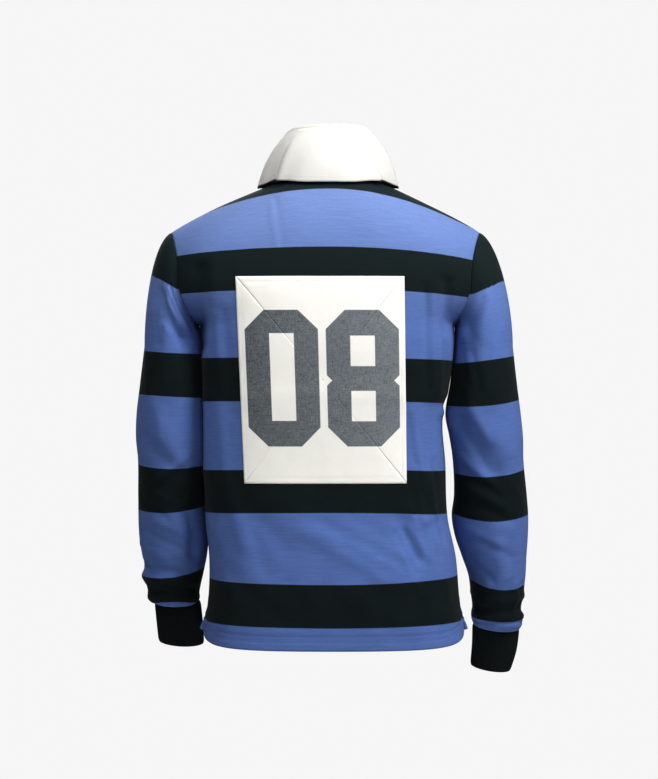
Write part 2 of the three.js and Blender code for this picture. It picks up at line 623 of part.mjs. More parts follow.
function lifted(side, u, h, lift) {
  const step = 0.004;
  const p = panelPoint(side, u, h);
  const alongU = panelPoint(side, u + step, h).sub(panelPoint(side, u - step, h));
  const alongH = panelPoint(side, u, h + step > 3 ? h : h + step).sub(panelPoint(side, u, h - step));
  const normal = alongU.cross(alongH).normalize();
  if (normal.dot(p.clone().sub(V(0, 0, -150))) < 0) normal.negate();
  return p.addScaledVector(normal, lift);
}

const frontAngle = (u) => Math.PI - ((u / NECK_SHARE) * Math.PI) / 2;
const collarAngles = [
  ...halfNeck.map((u) => -frontAngle(u)),
  ...backNeckShares.map((u) => ((u / NECK_SHARE) * Math.PI) / 2),
  ...mirrored(halfNeck).map((u) => frontAngle(-u)),
];
const alongStand = (a, t) => {
  const from = neckSeam(a);
  const to = foldLine(a);
  return from.lerp(to, t).addScaledVector(outward(a), STAND_BOW * Math.sin(t * Math.PI));
};
// A seam gap as a share of the way up the stand
const gapShare = (a) => (2 * SEAM_GAP) / neckSeam(a).distanceTo(foldLine(a));
function standPiece() {
  const levels = [0, 0.33, 0.67, 1];
  const ring = (t) => collarAngles.map((a) => alongStand(a, lerp(gapShare(a), STAND_SHARE, t)));
  return gridPiece(levels.map(ring), { inside: V(0, -10, 30) });
}
// The fall leaves the stand, turns over at the fold and comes down outside
function fallPoint(a, t) {
  if (t < 0.2) return alongStand(a, lerp(STAND_SHARE + gapShare(a), 1, t / 0.2));
  const top = foldLine(a);
  const out = outward(a);
  if (t < 0.4) {
    const turn = ((t - 0.2) / 0.2) * Math.PI;
    return top
      .addScaledVector(out, FOLD_RADIUS * (1 - Math.cos(turn)))
      .add(V(0, 0, FOLD_RADIUS * Math.sin(turn)));
  }
  const share = (t - 0.4) / 0.6;
  const start = top.addScaledVector(out, 2 * FOLD_RADIUS);
  const end = fallEdge(a);
  const control = start.clone().lerp(end, 0.4).addScaledVector(out, FALL_BULGE).add(V(0, 0, FALL_RISE));
  return start
    .multiplyScalar((1 - share) ** 2)
    .addScaledVector(control, 2 * share * (1 - share))
    .addScaledVector(end, share * share);
}
function fallPiece() {
  const levels = [0, 0.1, 0.2, 0.27, 0.33, 0.4, 0.55, 0.7, 0.85, 1];
  const points = levels.map((t) => collarAngles.map((a) => fallPoint(a, t)));
  const piece = gridPiece(points, { inside: V(0, -10, 30) });
  // Past the fold the cloth faces the other way, so each normal is turned by the way the grid runs
  points.forEach((line, i) =>
    line.forEach((_, j) => {
      const up = points[Math.min(i + 1, levels.length - 1)][j].clone().sub(points[Math.max(i - 1, 0)][j]);
      const across = line[Math.min(j + 1, line.length - 1)].clone().sub(line[Math.max(j - 1, 0)]);
      piece.normals[i][j].copy(up.cross(across).normalize());
    }),
  );
  return piece;
}

// The place on the back's panel that lies at a distance from the middle and a height
function placeOnBack(x, z) {
  let low = 0.2;
  let high = 2.4;
  let u = 0;
  for (let k = 0; k < 24; k++) {
    const h = (low + high) / 2;
    let near = -1;
    let far = 1;
    for (let n = 0; n < 24; n++) {
      u = (near + far) / 2;
      if (panelForm(BACK, u, h).x < x) near = u;
      else far = u;
    }
    if (panelForm(BACK, u, h).z < z) low = h;
    else high = h;
  }
  return { u, h: (low + high) / 2 };
}

// The patch: four triangles that meet in its middle, their outer edges on a slightly slanted rectangle
function patchPoint(p, q) {
  const left = lerp(PATCH.lowLeft, PATCH.left, q);
  const right = lerp(PATCH.lowRight, PATCH.right, q);
  const place = placeOnBack(lerp(right, left, p), lerp(PATCH.bottom, PATCH.top, q));
  const normal = lifted(BACK, place.u, place.h, 1).sub(lifted(BACK, place.u, place.h, 0));
  return onBackFacets(place.u, place.h).addScaledVector(normal, PATCH_LIFT);
}
// The place on the back's own flat facets, between the four nearest of its points
function onBackFacets(u, h) {
  const i = panelRows.findIndex((row) => row > h) - 1;
  const j = backShares.findIndex((share) => share > u) - 1;
  const up = (h - panelRows[i]) / (panelRows[i + 1] - panelRows[i]);
  const along = (u - backShares[j]) / (backShares[j + 1] - backShares[j]);
  const low = back.points[i][j].clone().lerp(back.points[i][j + 1], along);
  const high = back.points[i + 1][j].clone().lerp(back.points[i + 1][j + 1], along);
  return low.lerp(high, up);
}
// Each triangle runs from the patch's middle out to one edge, short of the diagonals by half a gap
function patchPiece(from, to) {
  const gap = SEAM_GAP / 250;
  const reach = [0.02, 0.21, 0.41, 0.61, 0.81, 1];
  const points = reach.map((k) =>
    steps(10, gap / k, 1 - gap / k).map((share) => {
      const p = lerp(from[0], to[0], share);
      const q = lerp(from[1], to[1], share);
      return patchPoint(0.5 + (p - 0.5) * k, 0.5 + (q - 0.5) * k);
    }),
  );
  return gridPiece(points, { inside: V(0, 0, -290) });
}

// The placket's strips follow the front's own points, moved out or in
function placketPiece(lift, half, bottom) {
  const rows = [bottom, ...panelRows.filter((h) => h > bottom + 0.02)];
  rows[rows.length - 1] = TOP_STOP - 0.006;
  const shares = steps(4, -half, half);
  const points = rows.map((h) => shares.map((u) => lifted(FRONT, u, h, lift)));
  return gridPiece(points, { inside: BODY_CENTRE });
}
const slitStart = panelRows[slitRow];
const placketOver = placketPiece(PLACKET_CLOTH + PLACKET_GAP, PLACKET_SHARE, slitStart - 0.045);
const placketUnder = placketPiece(-JERSEY - PLACKET_GAP, PLACKET_UNDER_SHARE, slitStart - 0.03);

function buttonMesh(name, h, material) {
  const R = BUTTON_RADIUS;
  const profile = [
    [0, 0], [R - 0.8, 0], [R, 0.9], [R, 2.3], [R - 1.1, 3.1], [R - 2.2, 2.9], [R - 3, 1.9], [0, 1.7],
  ];
  const geometry = new THREE.LatheGeometry(profile.map(([x, y]) => new THREE.Vector2(x, y)), 14);
  const mesh = new THREE.Mesh(geometry, material);
  const on = lifted(FRONT, 0, h, PLACKET_CLOTH + SEAM_GAP + 0.5);
  const off = lifted(FRONT, 0, h, PLACKET_CLOTH + SEAM_GAP + 10);
  mesh.position.copy(on);
  mesh.quaternion.setFromUnitVectors(V(0, 1, 0), off.sub(on).normalize());
  mesh.name = name;
  return mesh;
}

const cloth = (color, roughness) =>
  new THREE.MeshStandardMaterial({ color, roughness, metalness: 0, side: THREE.DoubleSide });
const stripedJersey = cloth(0x5474b8, 0.9);
const darkRib = cloth(0x101718, 0.92);
const whiteTwill = cloth(0xf3f1ea, 0.85);
const patchCanvas = cloth(0xedebe2, 0.88);
const rubber = new THREE.MeshStandardMaterial({ color: 0xe9e6dc, roughness: 0.5, metalness: 0 });

const leftSleeve = sleevePiece(LEFT_SLEEVE, 1, LEFT_SLEEVE_FOLDS);
const rightSleeve = sleevePiece(RIGHT_SLEEVE, -1, RIGHT_SLEEVE_FOLDS);
const stand = standPiece();
const fall = fallPiece();
const leftCuff = cuffPiece(LEFT_CUFF, 1);
const rightCuff = cuffPiece(RIGHT_CUFF, -1);
mitreSeams([back, front, leftSleeve, rightSleeve, stand]);
mitreSeams([stand, fall]);

const shirt = new THREE.Group();
function add(name, piece, thickness, material) {
  const mesh = new THREE.Mesh(wall(piece, thickness), material);
  mesh.name = name;
  shirt.add(mesh);
}
// The hem is thicker by its turning, on the inside of the panel
const withHem = (i) => (i < HEM_ROWS ? JERSEY + HEM_EXTRA : JERSEY);
add("back", back, withHem, stripedJersey);
add("front", front, withHem, stripedJersey);
add("sleeve_left", leftSleeve, JERSEY, stripedJersey);
add("sleeve_right", rightSleeve, JERSEY, stripedJersey);
const withRibs = (i, j) => RIB_KNIT + ribHeight(i, j);
add("cuff_left", leftCuff, withRibs, darkRib);
add("cuff_right", rightCuff, withRibs, darkRib);
add("collar_stand", stand, TWILL, whiteTwill);
add("collar_fall", fall, TWILL, whiteTwill);
add("placket_over", placketOver, PLACKET_CLOTH, whiteTwill);
add("placket_under", placketUnder, PLACKET_CLOTH, whiteTwill);
const patch = {
  patch_top: patchPiece([0, 1], [1, 1]),
  patch_left: patchPiece([1, 1], [1, 0]),
  patch_bottom: patchPiece([1, 0], [0, 0]),
  patch_right: patchPiece([0, 0], [0, 1]),
};
mitreSeams(Object.values(patch));
for (const [name, piece] of Object.entries(patch)) add(name, piece, PATCH_CLOTH, patchCanvas);
BUTTON_LEVELS.forEach((h, i) => shirt.add(buttonMesh(`button_${i + 1}`, h, rubber)));

export default shirt;
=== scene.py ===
"""The looks of a long-sleeved rugby shirt, filled out as it is when worn.

Every piece of cloth is a thin closed shell on the form of its solid, with finer folds, seams and stitches.
Forms are worked out in millimetres, and become metres when they are made a mesh. Z is up, the front
faces -Y, and the left sleeve is at +X.
"""
import math

import bpy
import numpy as np
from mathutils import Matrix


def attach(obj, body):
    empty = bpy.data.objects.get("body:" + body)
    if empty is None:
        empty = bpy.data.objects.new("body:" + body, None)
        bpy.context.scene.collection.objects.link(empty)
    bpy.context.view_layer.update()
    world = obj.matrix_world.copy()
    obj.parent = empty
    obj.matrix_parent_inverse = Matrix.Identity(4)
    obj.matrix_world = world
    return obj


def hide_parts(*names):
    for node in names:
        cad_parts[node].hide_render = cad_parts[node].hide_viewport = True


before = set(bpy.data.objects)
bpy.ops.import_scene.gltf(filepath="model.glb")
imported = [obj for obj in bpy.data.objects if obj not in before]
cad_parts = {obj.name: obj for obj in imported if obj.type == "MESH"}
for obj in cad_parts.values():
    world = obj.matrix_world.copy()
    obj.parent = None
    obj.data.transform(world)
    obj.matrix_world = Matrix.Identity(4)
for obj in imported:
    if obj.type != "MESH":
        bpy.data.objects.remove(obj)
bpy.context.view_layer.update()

# Cloth thicknesses, in millimetres
JERSEY = 1.6
HEM_EXTRA = 0.9
HEM_DEPTH = 20.0
HEM_SECOND_ROW = 13.5
TWILL = 1.8
RIB_KNIT = 2.2
PATCH_CLOTH = 0.6
PLACKET_CLOTH = 1.4
SEAM_GAP = 0.3

# The body's heights
BACK_HEM = -671.0
FRONT_HEM = -662.0
BACK_HEM_RISE = 24.0
FRONT_HEM_RISE = 12.0
VENT_TOP = -616.0
VENT_SHARE = 0.13
UNDERARM = -205.0
ARMHOLE_LOWER = 67.0
UNDERARM_HALF = 187.0
ARMHOLE_SPREAD = 24.0
ROW_DROOP = 2.2

# The neckline and the shoulder seams
NECK_HALF = 66.0
NECK_SHARE = 0.33
NECK_POINT_Y = -2.0
NECK_POINT_Z = 9.0
SHOULDER_RUN = 160.0
SHOULDER_SLOPE = 0.43
SHOULDER_TIP_DROP = 8.0
GIRDLE_SHIFT = 5.0

# The placket
SLIT_BOTTOM = -222.0
SLIT_SHARE = 0.008
PLACKET_SHARE = 0.058

# The collar
STAND_SHARE = 0.62
FOLD_RADIUS = 4.0
FOLD_HALF = 59.0
FOLD_BEHIND = 50.0
FOLD_BEFORE = 70.0
FOLD_TOP = 81.0
FOLD_DROP = 101.0
FOLD_CURVE = 2.2
FALL_BULGE = 12.0
FALL_RISE = 6.0
COLLAR_TILT = 0.015
COLLAR_LIFT = 4.2
STAND_BOW = 3.0
FALL_BACK_LEVEL = 2.78
FALL_CORNER_SHARE = 0.475
FALL_CORNER_LEVEL = 2.995
FALL_BEND_SHARE = 0.31
FALL_BEND_WIDTH = 0.07
FALL_BEND_DROP = 0.07
FALL_BEND_LIFT = 4.0
FALL_POINT_SHARE = 0.2
FALL_POINT_LEVEL = 2.3
FALL_RISEN = 0.2
FALL_TURNED = 0.4

# The body's sections: how boxy they are, and how far and how high the sleeves press the sides in
BOXY = 0.06
PRESS_DEPTH = 6.0
PRESS_WIDTH = 26.0
PRESS_TOP = -212.0
PRESS_TOP_RUN = 45.0
PRESS_BOTTOM_LEFT = -440.0
PRESS_BOTTOM_RIGHT = -345.0
PRESS_BOTTOM_RUN = 60.0
VENT_TURN = 9.0
SHOULDER_PULL = 1.18

# The sleeves: the armhole's steps, and the pulls of a head where it leaves and arrives
ARMHOLE_STEPS = 13.0
ARMHOLE_LOWER_STEPS = 6.0
FOLD_ARC = 0.95  # millimetres of sleeve for each degree round it
HEAD_LEAVE_BESIDE = 8.0
HEAD_LEAVE_TIP = 92.0
HEAD_ARRIVE_BESIDE = 34.0
HEAD_ARRIVE_TIP = 190.0
HEAD_TURN = 0.12
HEAD_DROP = 0.42
PANEL_ARC = 280.0  # millimetres of cloth from a panel's middle to its side
TOP_ARC = 130.0

# How deep the seams, the hem's two rows and the top edge are pressed in, and where folds die away
SEAM_SINK = 0.35
HEM_SINK = 1.3
HEM_SECOND_SINK = 1.0
TOP_SINK = 0.8
SIDE_CALM = 0.12
TOP_CALM = 2.9
TOP_CALM_RUN = 0.5

# The cuffs' ribs, the top of the placket's slit and the stitches
CUFF_RIBS = 56
RIB_POINTS = 6
RIB_HEIGHT = 0.9
SLIT_LEVEL = 0.965
STITCH_SIDES = 6

# How finely the pieces are divided
BACK_COLUMNS = 170
FRONT_COLUMNS = 150
SLEEVE_COLUMNS_ROUND = 150
SLEEVE_HEAD_ROWS = 34
SLEEVE_ROWS = 150
CUFF_ROWS = 26

# The floor's height and radius, the surround's radius and how finely both are divided
FLOOR_HEIGHT = -1350.0
FLOOR_RADIUS = 2600.0
SURROUND_RADIUS = 7000.0
ROUND_STEPS = 96
RISE_STEPS = 39

# The camera, in metres
CAMERA_DISTANCE = 3.6
CAMERA_HEIGHT = -0.298
CAMERA_LENS = 113.2
CAMERA_SENSOR = 36.0

# The patch: its corners' distances from the body's middle and heights, its cut in metres, and how far it
# lies off the back
PATCH_LEFT = 133.0
PATCH_RIGHT = -107.0
PATCH_LOW_LEFT = 121.0
PATCH_LOW_RIGHT = -111.0
PATCH_TOP = -137.0
PATCH_BOTTOM = -432.5
PATCH_WIDTH = 0.2355
PATCH_HEIGHT = 0.2955
PATCH_LIFT = 1.5

# The stripes on the flat cloth, in metres
STRIPE_REPEAT = 0.165
BLUE_STRIPE = 0.1016

# The finer patterns, in metres: the twill's ribs, the jersey's wales, and how far down the painted light from
# above reaches
TWILL_RIB = 0.0011
JERSEY_WALE = 0.0011
TOP_LIGHT_DEPTH = 0.22
TOP_LIGHT_RUN = 0.2

# The numerals on the patch, in metres from its lower corner on the left as read
NUMERAL_HALF_WIDTH = 0.0515
NUMERAL_MIDDLE = 0.1505
NUMERAL_HALF_HEIGHT = 0.0972
NUMERAL_CHAMFER = 0.0275
ZERO_MIDDLE = 0.0615
EIGHT_MIDDLE = 0.1752
COUNTER_HALF = 0.0172
ZERO_COUNTER = (0.0900, 0.2145)
EIGHT_COUNTERS = ((0.0895, 0.1325), (0.1680, 0.2110))
EIGHT_WAIST = 0.1475
EIGHT_WAIST_DEPTH = 0.0075


def table(names, rows):
    """The rows of a table as one array for each column, from the lowest row up."""
    values = np.array(sorted(rows), dtype=float)
    return dict(zip(names, values.T))


# The torso's sections: height, middle, half the width, and the depth behind and before the side seams
TORSO = table(
    ("z", "centre", "half", "back", "front"),
    [
        (-671, -7, 193, 117, 109),
        (-601, -7, 184, 115, 110),
        (-543, -5, 181, 111, 112),
        (-485, 4, 178, 107, 114),
        (-411, 6, 177, 108, 118),
        (-324, 8, 177, 116, 125),
        (-308, 5, 181.5, 118, 126),
        (-290, 3, 183, 119, 127),
        (-240, 2, 187, 124, 129),
        (-205, 3, 187, 126, 129),
        (-150, 6, 187, 127, 126),
        (-100, 6, 187, 122, 117),
    ],
)

# A sleeve's sections: height, outer and inner edge, the middle of the depth, half the depth, how far the
# section leans with the forearm in degrees, and how far it falls towards the outer side
SLEEVE_COLUMNS = ("z", "outer", "inner", "middle", "deep", "lean", "slope")
LEFT_SLEEVE = table(
    SLEEVE_COLUMNS,
    [
        (-235, 270.5, 187, 4, 73, 0, 0),
        (-290, 277, 182, 6, 70, 0, 0),
        (-335, 282.5, 181, 3, 66, 2, 0),
        (-368, 283.5, 179.5, 0, 63, 4, 0),
        (-400, 281, 180.5, -6, 61, 7, 0),
        (-455, 281.5, 183.5, -17, 59, 9, 0),
        (-514, 281, 178.5, -31, 57, 10, 0),
        (-543, 277, 181, -37, 54, 11, 0),
        (-558, 274.5, 184, -40, 52, 11, 0),
        (-574, 276, 187.5, -43, 52, 11, 0),
        (-589, 272, 191, -46, 48, 11, 0),
        (-601, 270, 193, -48, 46, 11, 0),
        (-608, 269.5, 192.5, -50, 44, 11, 0),
        (-614, 260, 195, -51, 31, 11, 0),
    ],
)
RIGHT_SLEEVE = table(
    SLEEVE_COLUMNS,
    [
        (-235, 269.5, 183.5, 4, 73, 0, 0),
        (-290, 275.5, 177.5, 6, 70, 0, 0),
        (-335, 281.5, 171, 3, 66, 2, 0),
        (-368, 285, 177, 0, 63, 4, 0),
        (-400, 286, 182, -6, 61, 7, 0),
        (-455, 292, 184.5, -17, 59, 10, 0),
        (-485, 294.5, 181.5, -23, 58, 11, 0),
        (-514, 294.5, 186.5, -30, 56, 11, 0),
        (-543, 293, 196.5, -36, 53, 11, 0),
        (-573, 292, 207, -42, 49, 11, 0),
        (-602, 289, 211, -48, 46, 11, 0.03),
        (-624, 286, 213.5, -52, 42, 11, 0.06),
        (-634, 289, 212, -54, 42, 11, 0.08),
        (-644, 288, 213, -56, 39, 11, 0.09),
        (-651, 284, 216, -57, 31, 11, 0.1),
    ],
)
LEFT_CUFF = table(
    SLEEVE_COLUMNS,
    [
        (-614, 259, 192, -51, 29, 11, 0),
        (-645, 256.5, 189, -57, 28, 11, -0.03),
        (-674, 254, 187.5, -63, 28.5, 11, -0.06),
    ],
)
RIGHT_CUFF = table(
    SLEEVE_COLUMNS,
    [
        (-651, 283.5, 215, -57, 29, 11, 0.1),
        (-683, 279.5, 214.5, -63, 28, 10, 0.12),
        (-713, 271, 212.5, -69, 28, 9, 0.14),
    ],
)

# Folds: where each starts and ends, its width and its height, which is below 0 in a trough. On a panel the
# place is the distance from the middle and the height; on a sleeve it is the angle round it and the height.
BACK_FOLDS = [
    (186, -128, 181, -232, 13, -6),
    (168, -150, 166, -430, 17, 3.5),
    (-168, -146, -166, -318, 9, -5),
    (-156, -152, -160, -300, 10, 2.5),
    (-124, -325, -150, -470, 12, 3.5),
    (-104, -488, -128, -536, 13, -4.5),
    (-146, -486, -160, -520, 12, 3),
    (60, -470, -80, -545, 34, 3),
    (150, -480, 160, -600, 22, -3),
]
FRONT_FOLDS = [
    (180, -150, 150, -330, 16, -5),
    (-170, -150, -140, -330, 16, -5),
    (120, -360, 90, -560, 20, 4),
    (-100, -340, -125, -570, 22, 4),
    (60, -430, 20, -600, 20, -3.5),
    (-30, -400, -55, -590, 18, -3),
]
LEFT_SLEEVE_FOLDS = [
    (62, -160, 118, -222, 11, -6),
    (88, -152, 136, -205, 10, 3),
    (48, -196, 64, -228, 10, -3),
    (60, -320, 100, -395, 14, 3),
    (40, -370, 95, -408, 13, -3),
    (75, -470, 115, -500, 13, 3),
    (120, -480, 128, -540, 11, -4),
    (250, -330, 200, -385, 15, -4),
    (300, -360, 235, -420, 16, 3),
]
RIGHT_SLEEVE_FOLDS = [
    (128, -205, 92, -168, 12, -3),
    (100, -215, 74, -170, 11, 2),
    (128, -345, 82, -420, 14, -4),
    (112, -330, 60, -390, 16, 2.5),
    (84, -505, 82, -560, 13, 2.5),
    (52, -590, 54, -622, 10, 3),
    (250, -330, 200, -385, 15, -4),
    (300, -360, 235, -420, 16, 3),
]
# Finer creases, which the solids leave out
BACK_CREASES = [
    (-107, -498, -127, -540, 4.5, -2.8),
    (-117, -496, -138, -534, 5.0, 2.0),
    (-96, -512, -117, -556, 6.0, 1.6),
    (-120, -410, -137, -488, 5.5, 2.2),
    (-137, -488, -146, -540, 5.5, 1.8),
    (-150, -400, -163, -520, 5.0, -2.0),
    (-158, -520, -172, -600, 6.0, 1.6),
    (12, -488, -115, -552, 10.0, -2.2),
    (40, -500, -95, -575, 12.0, 1.8),
    (120, -455, 60, -530, 14.0, -1.6),
    (150, -560, 60, -630, 14.0, -1.8),
    (-20, -590, -120, -640, 14.0, 1.4),
    (160, -190, 152, -300, 6.0, 1.8),
    (171, -225, 174, -420, 8, 3.0),
    (-163, -225, -165, -330, 8, 3.0),
    (-136, -150, -141, -300, 4.5, -1.6),
    (-146, -160, -150, -290, 4.0, 1.8),
    (-118, -330, -136, -440, 5.0, 1.8),
    (-128, -350, -143, -450, 4.5, -1.6),
    (-137, -415, -150, -480, 5.0, 2.0),
    (-118, -470, -139, -540, 5.5, 1.8),
    (-96, -505, -122, -560, 6.0, -2.2),
    (-112, -540, -130, -590, 6.0, 1.4),
    (10, -500, -60, -540, 14, 1.6),
    (-20, -520, -85, -562, 9, -1.6),
    (-30, -480, -100, -520, 12, -1.2),
    (78, -25, 66, -92, 5.0, -0.55),
    (84, -28, 74, -96, 5.0, 0.9),
    (120, -470, 90, -560, 16, -1.8),
    (150, -440, 120, -520, 12, 1.6),
    (165, -500, 140, -600, 10, 1.4),
    (60, -575, 30, -640, 14, -1.2),
    (-40, -580, -70, -650, 16, 1.2),
    (0, -150, 20, -260, 30, -1.0),
    (150, -190, 140, -330, 9, -1.6),
    (158, -320, 146, -430, 8, 1.6),
]
FRONT_CREASES = [
    (150, -200, 110, -330, 9, -2.2),
    (-146, -200, -104, -330, 9, -2.2),
    (132, -250, 90, -380, 9, 2.0),
    (-130, -250, -92, -380, 9, 2.0),
    (100, -420, 60, -560, 11, -2.0),
    (-90, -430, -50, -570, 11, -2.0),
    (140, -440, 120, -600, 10, 2.0),
    (-150, -430, -135, -600, 10, 2.0),
    (36, -260, 60, -400, 12, 1.6),
    (-40, -270, -66, -410, 12, 1.6),
]
LEFT_SLEEVE_CREASES = [
    (180, -203, 180, -212, 8, 1.4),
    (180, -232, 180, -248, 10, 1.8),
    (144, -225, 152, -400, 13, 2.6),
    (88, -149, 145, -212, 4, -3.8),
    (71, -195, 129, -225, 4, -3.0),
    (82, -172, 121, -207, 6, 3.0),
    (70, -150, 112, -205, 5, 2.2),
    (96, -175, 128, -232, 5, -1.8),
    (40, -180, 58, -222, 5, 1.6),
    (52, -170, 74, -214, 5, -1.4),
    (30, -235, 48, -300, 9, 1.4),
    (110, -235, 96, -300, 8, 1.4),
    (100, -300, 82, -360, 8, -1.6),
    (120, -395, 70, -432, 7, 2.4),
    (110, -415, 60, -447, 6, -2.4),
    (40, -432, 96, -462, 7, 2.2),
    (30, -455, 84, -482, 6, -2.2),
    (130, -440, 88, -470, 6, -1.8),
    (60, -488, 120, -512, 7, 2.0),
    (40, -505, 100, -528, 6, -1.8),
    (20, -525, 80, -545, 7, 1.8),
    (100, -540, 140, -556, 6, 1.8),
    (0, -556, 110, -566, 6, -2.4),
    (10, -574, 150, -582, 7, 2.6),
    (-10, -592, 80, -596, 5, -2.6),
    (90, -590, 170, -598, 5, -2.2),
    (30, -604, 150, -606, 4, 2.2),
    (200, -570, 320, -580, 8, 2.4),
    (220, -592, 350, -596, 6, -2.4),
    (230, -440, 300, -470, 9, -2.2),
    (220, -470, 290, -500, 9, 2.2),
]
RIGHT_SLEEVE_CREASES = [
    (144, -215, 152, -345, 13, 3.0),
    (132, -225, 112, -290, 8, 1.2),
    (118, -245, 98, -300, 7, -1.4),
    (86, -240, 84, -278, 8, -1.0),
    (120, -300, 92, -370, 8, 1.8),
    (136, -350, 96, -415, 7, -2.0),
    (146, -392, 92, -432, 7, 2.2),
    (140, -415, 84, -450, 6, -2.4),
    (132, -440, 70, -470, 7, 2.2),
    (120, -465, 56, -492, 6, -2.0),
    (60, -430, 30, -470, 8, 1.6),
    (136, -500, 80, -524, 7, 1.8),
    (110, -520, 60, -545, 7, -1.6),
    (140, -548, 100, -580, 7, -1.8),
    (60, -570, 120, -592, 7, 1.8),
    (20, -585, 80, -604, 6, -2.0),
    (10, -604, 130, -612, 6, 2.4),
    (30, -620, 150, -624, 5, -2.6),
    (0, -634, 140, -636, 5, 2.4),
    (0, -642.5, 160, -643, 2.4, -2.6),
    (200, -600, 320, -612, 8, 2.4),
    (220, -626, 350, -630, 6, -2.4),
    (230, -440, 300, -470, 9, -2.2),
    (220, -470, 290, -500, 9, 2.2),
]

# Where the stripes change at the middle of the back, from the collar down, and how far each change lies
# lower at the left and at the right side
BODY_STRIPES = [
    (-9.6, 35, 46),
    (-94.8, 8, 14),
    (-155.3, 4, 9),
    (-252.6, 0, 4),
    (-314.3, 1, 4.5),
    (-412.1, 2.5, 5),
    (-474.1, 2.5, 5.5),
    (-576.5, -4, -8.5),
    (-638.1, -4.5, -4.5),
]
DROOP_HALF = 190.0  # the distance from the middle at which a stripe lies that much lower
# Where the stripes change on a sleeve, from the head down: on the outer side, the back and the inner side
LEFT_SLEEVE_STRIPES = [
    (-131.4, -149, -163.4),
    (-241.5, -245.4, -245.9),
    (-304.6, -308.1, -310.5),
    (-407.7, -413.2, -408.4),
    (-474.5, -477.5, -469.3),
    (-573.8, -573.8, -561.9),
    (-616, -610.5, -615),
]
RIGHT_SLEEVE_STRIPES = [
    (-138.7, -156.2, -166.3),
    (-248.8, -256.2, -260.6),
    (-312.8, -321.8, -321.5),
    (-415, -424.8, -420.9),
    (-481.9, -490.6, -480.4),
    (-587.2, -592.7, -578.3),
    (-640, -641.2, -635.5),
]


def ease(t):
    """0 below 0 and 1 above 1, with a smooth rise between: 3 t squared less 2 t cubed."""
    t = np.clip(t, 0.0, 1.0)
    return t * t * (3.0 - 2.0 * t)


def blend(a, b, t):
    """a at t 0 and b at t 1, on a straight line."""
    return a + (b - a) * t


def points_of(x, y, z):
    """Three arrays as one array of points."""
    return np.stack(np.broadcast_arrays(x, y, z), axis=-1).astype(float)


def unit(vectors):
    """The vectors at length 1."""
    return vectors / np.maximum(np.linalg.norm(vectors, axis=-1, keepdims=True), 1e-9)


def column_at(rows, name, z):
    """A table's column at a height: a cubic between each two rows, whose slope at a row is the mean of the
    slopes on both sides."""
    heights, values = rows["z"], rows[name]
    slopes = np.diff(values) / np.diff(heights)
    tangents = np.concatenate([slopes[:1], (slopes[1:] + slopes[:-1]) / 2, slopes[-1:]])
    at = np.clip(z, heights[0], heights[-1])
    i = np.clip(np.searchsorted(heights, at) - 1, 0, len(heights) - 2)
    run = heights[i + 1] - heights[i]
    t = (at - heights[i]) / run
    start = values[i] * (1 + 2 * t) * (1 - t) ** 2
    end = values[i + 1] * t * t * (3 - 2 * t)
    return start + end + run * t * (1 - t) * (tangents[i] * (1 - t) - tangents[i + 1] * t)


def cubic(start, leave, end, arrive, t):
    """From start to end as t goes from 0 to 1: a cubic that leaves by one vector and arrives by another."""
    t = t[..., None]
    back = (1 - t) ** 2
    leaving = start * (1 + 2 * t) * back + leave * t * back
    return leaving + end * t * t * (3 - 2 * t) - arrive * t * t * (1 - t)


def fold_height(folds, across, z, scale=1.0):
    """How far the folds push the cloth out: for each fold, its height times e to the minus square of the
    distance from its line over its width."""
    height = np.zeros(np.broadcast(across, z).shape)
    for across_0, z_0, across_1, z_1, width, rise in folds:
        run_across = (across_1 - across_0) * scale
        run_z = z_1 - z_0
        off_across = across - across_0 * scale
        off_z = z - z_0
        share = np.clip((run_across * off_across + run_z * off_z) / (run_across**2 + run_z**2), 0, 1)
        away = np.hypot(off_across - share * run_across, off_z - share * run_z)
        height = height + rise * np.exp(-((away / width) ** 2))
    return height


def across_section(a):
    """The sine of a plus a little of the sine of 3 a: the share of the half width, between oval and box."""
    return (np.sin(a) + BOXY * np.sin(3 * a)) / (1 - BOXY)


def through_section(a):
    """The cosine of a less a little of the cosine of 3 a: the share of the depth, between oval and box."""
    return (np.cos(a) - BOXY * np.cos(3 * a)) / (1 - BOXY)


BACK = {
    "sign": 1.0,
    "depth": "back",
    "hem": BACK_HEM,
    "rise": BACK_HEM_RISE,
    "flare": 2.0,
    "blade": -108.0,
    "armhole": math.radians(59),
    "neck_depth": 62.0,
    "neck_rise": 20.0,
    "neck_power": 1.5,
    "neck_lean": np.array([0.0, -0.5, 0.86]),
    "folds": BACK_FOLDS,
    "creases": BACK_CREASES,
}
FRONT = {
    "sign": -1.0,
    "depth": "front",
    "hem": FRONT_HEM,
    "rise": FRONT_HEM_RISE,
    "flare": 12.0,
    "blade": -116.0,
    "armhole": math.radians(61),
    "neck_depth": 82.0,
    "neck_rise": -64.0,
    "neck_power": 1.2,
    "neck_lean": np.array([0.0, 0.5, 0.86]),
    "folds": FRONT_FOLDS,
    "creases": FRONT_CREASES,
}


def hem_height(side, u):
    """The hem's height: lowest in the middle, and higher by the cube of the way to the side."""
    return side["hem"] + side["rise"] * np.abs(u) ** 3


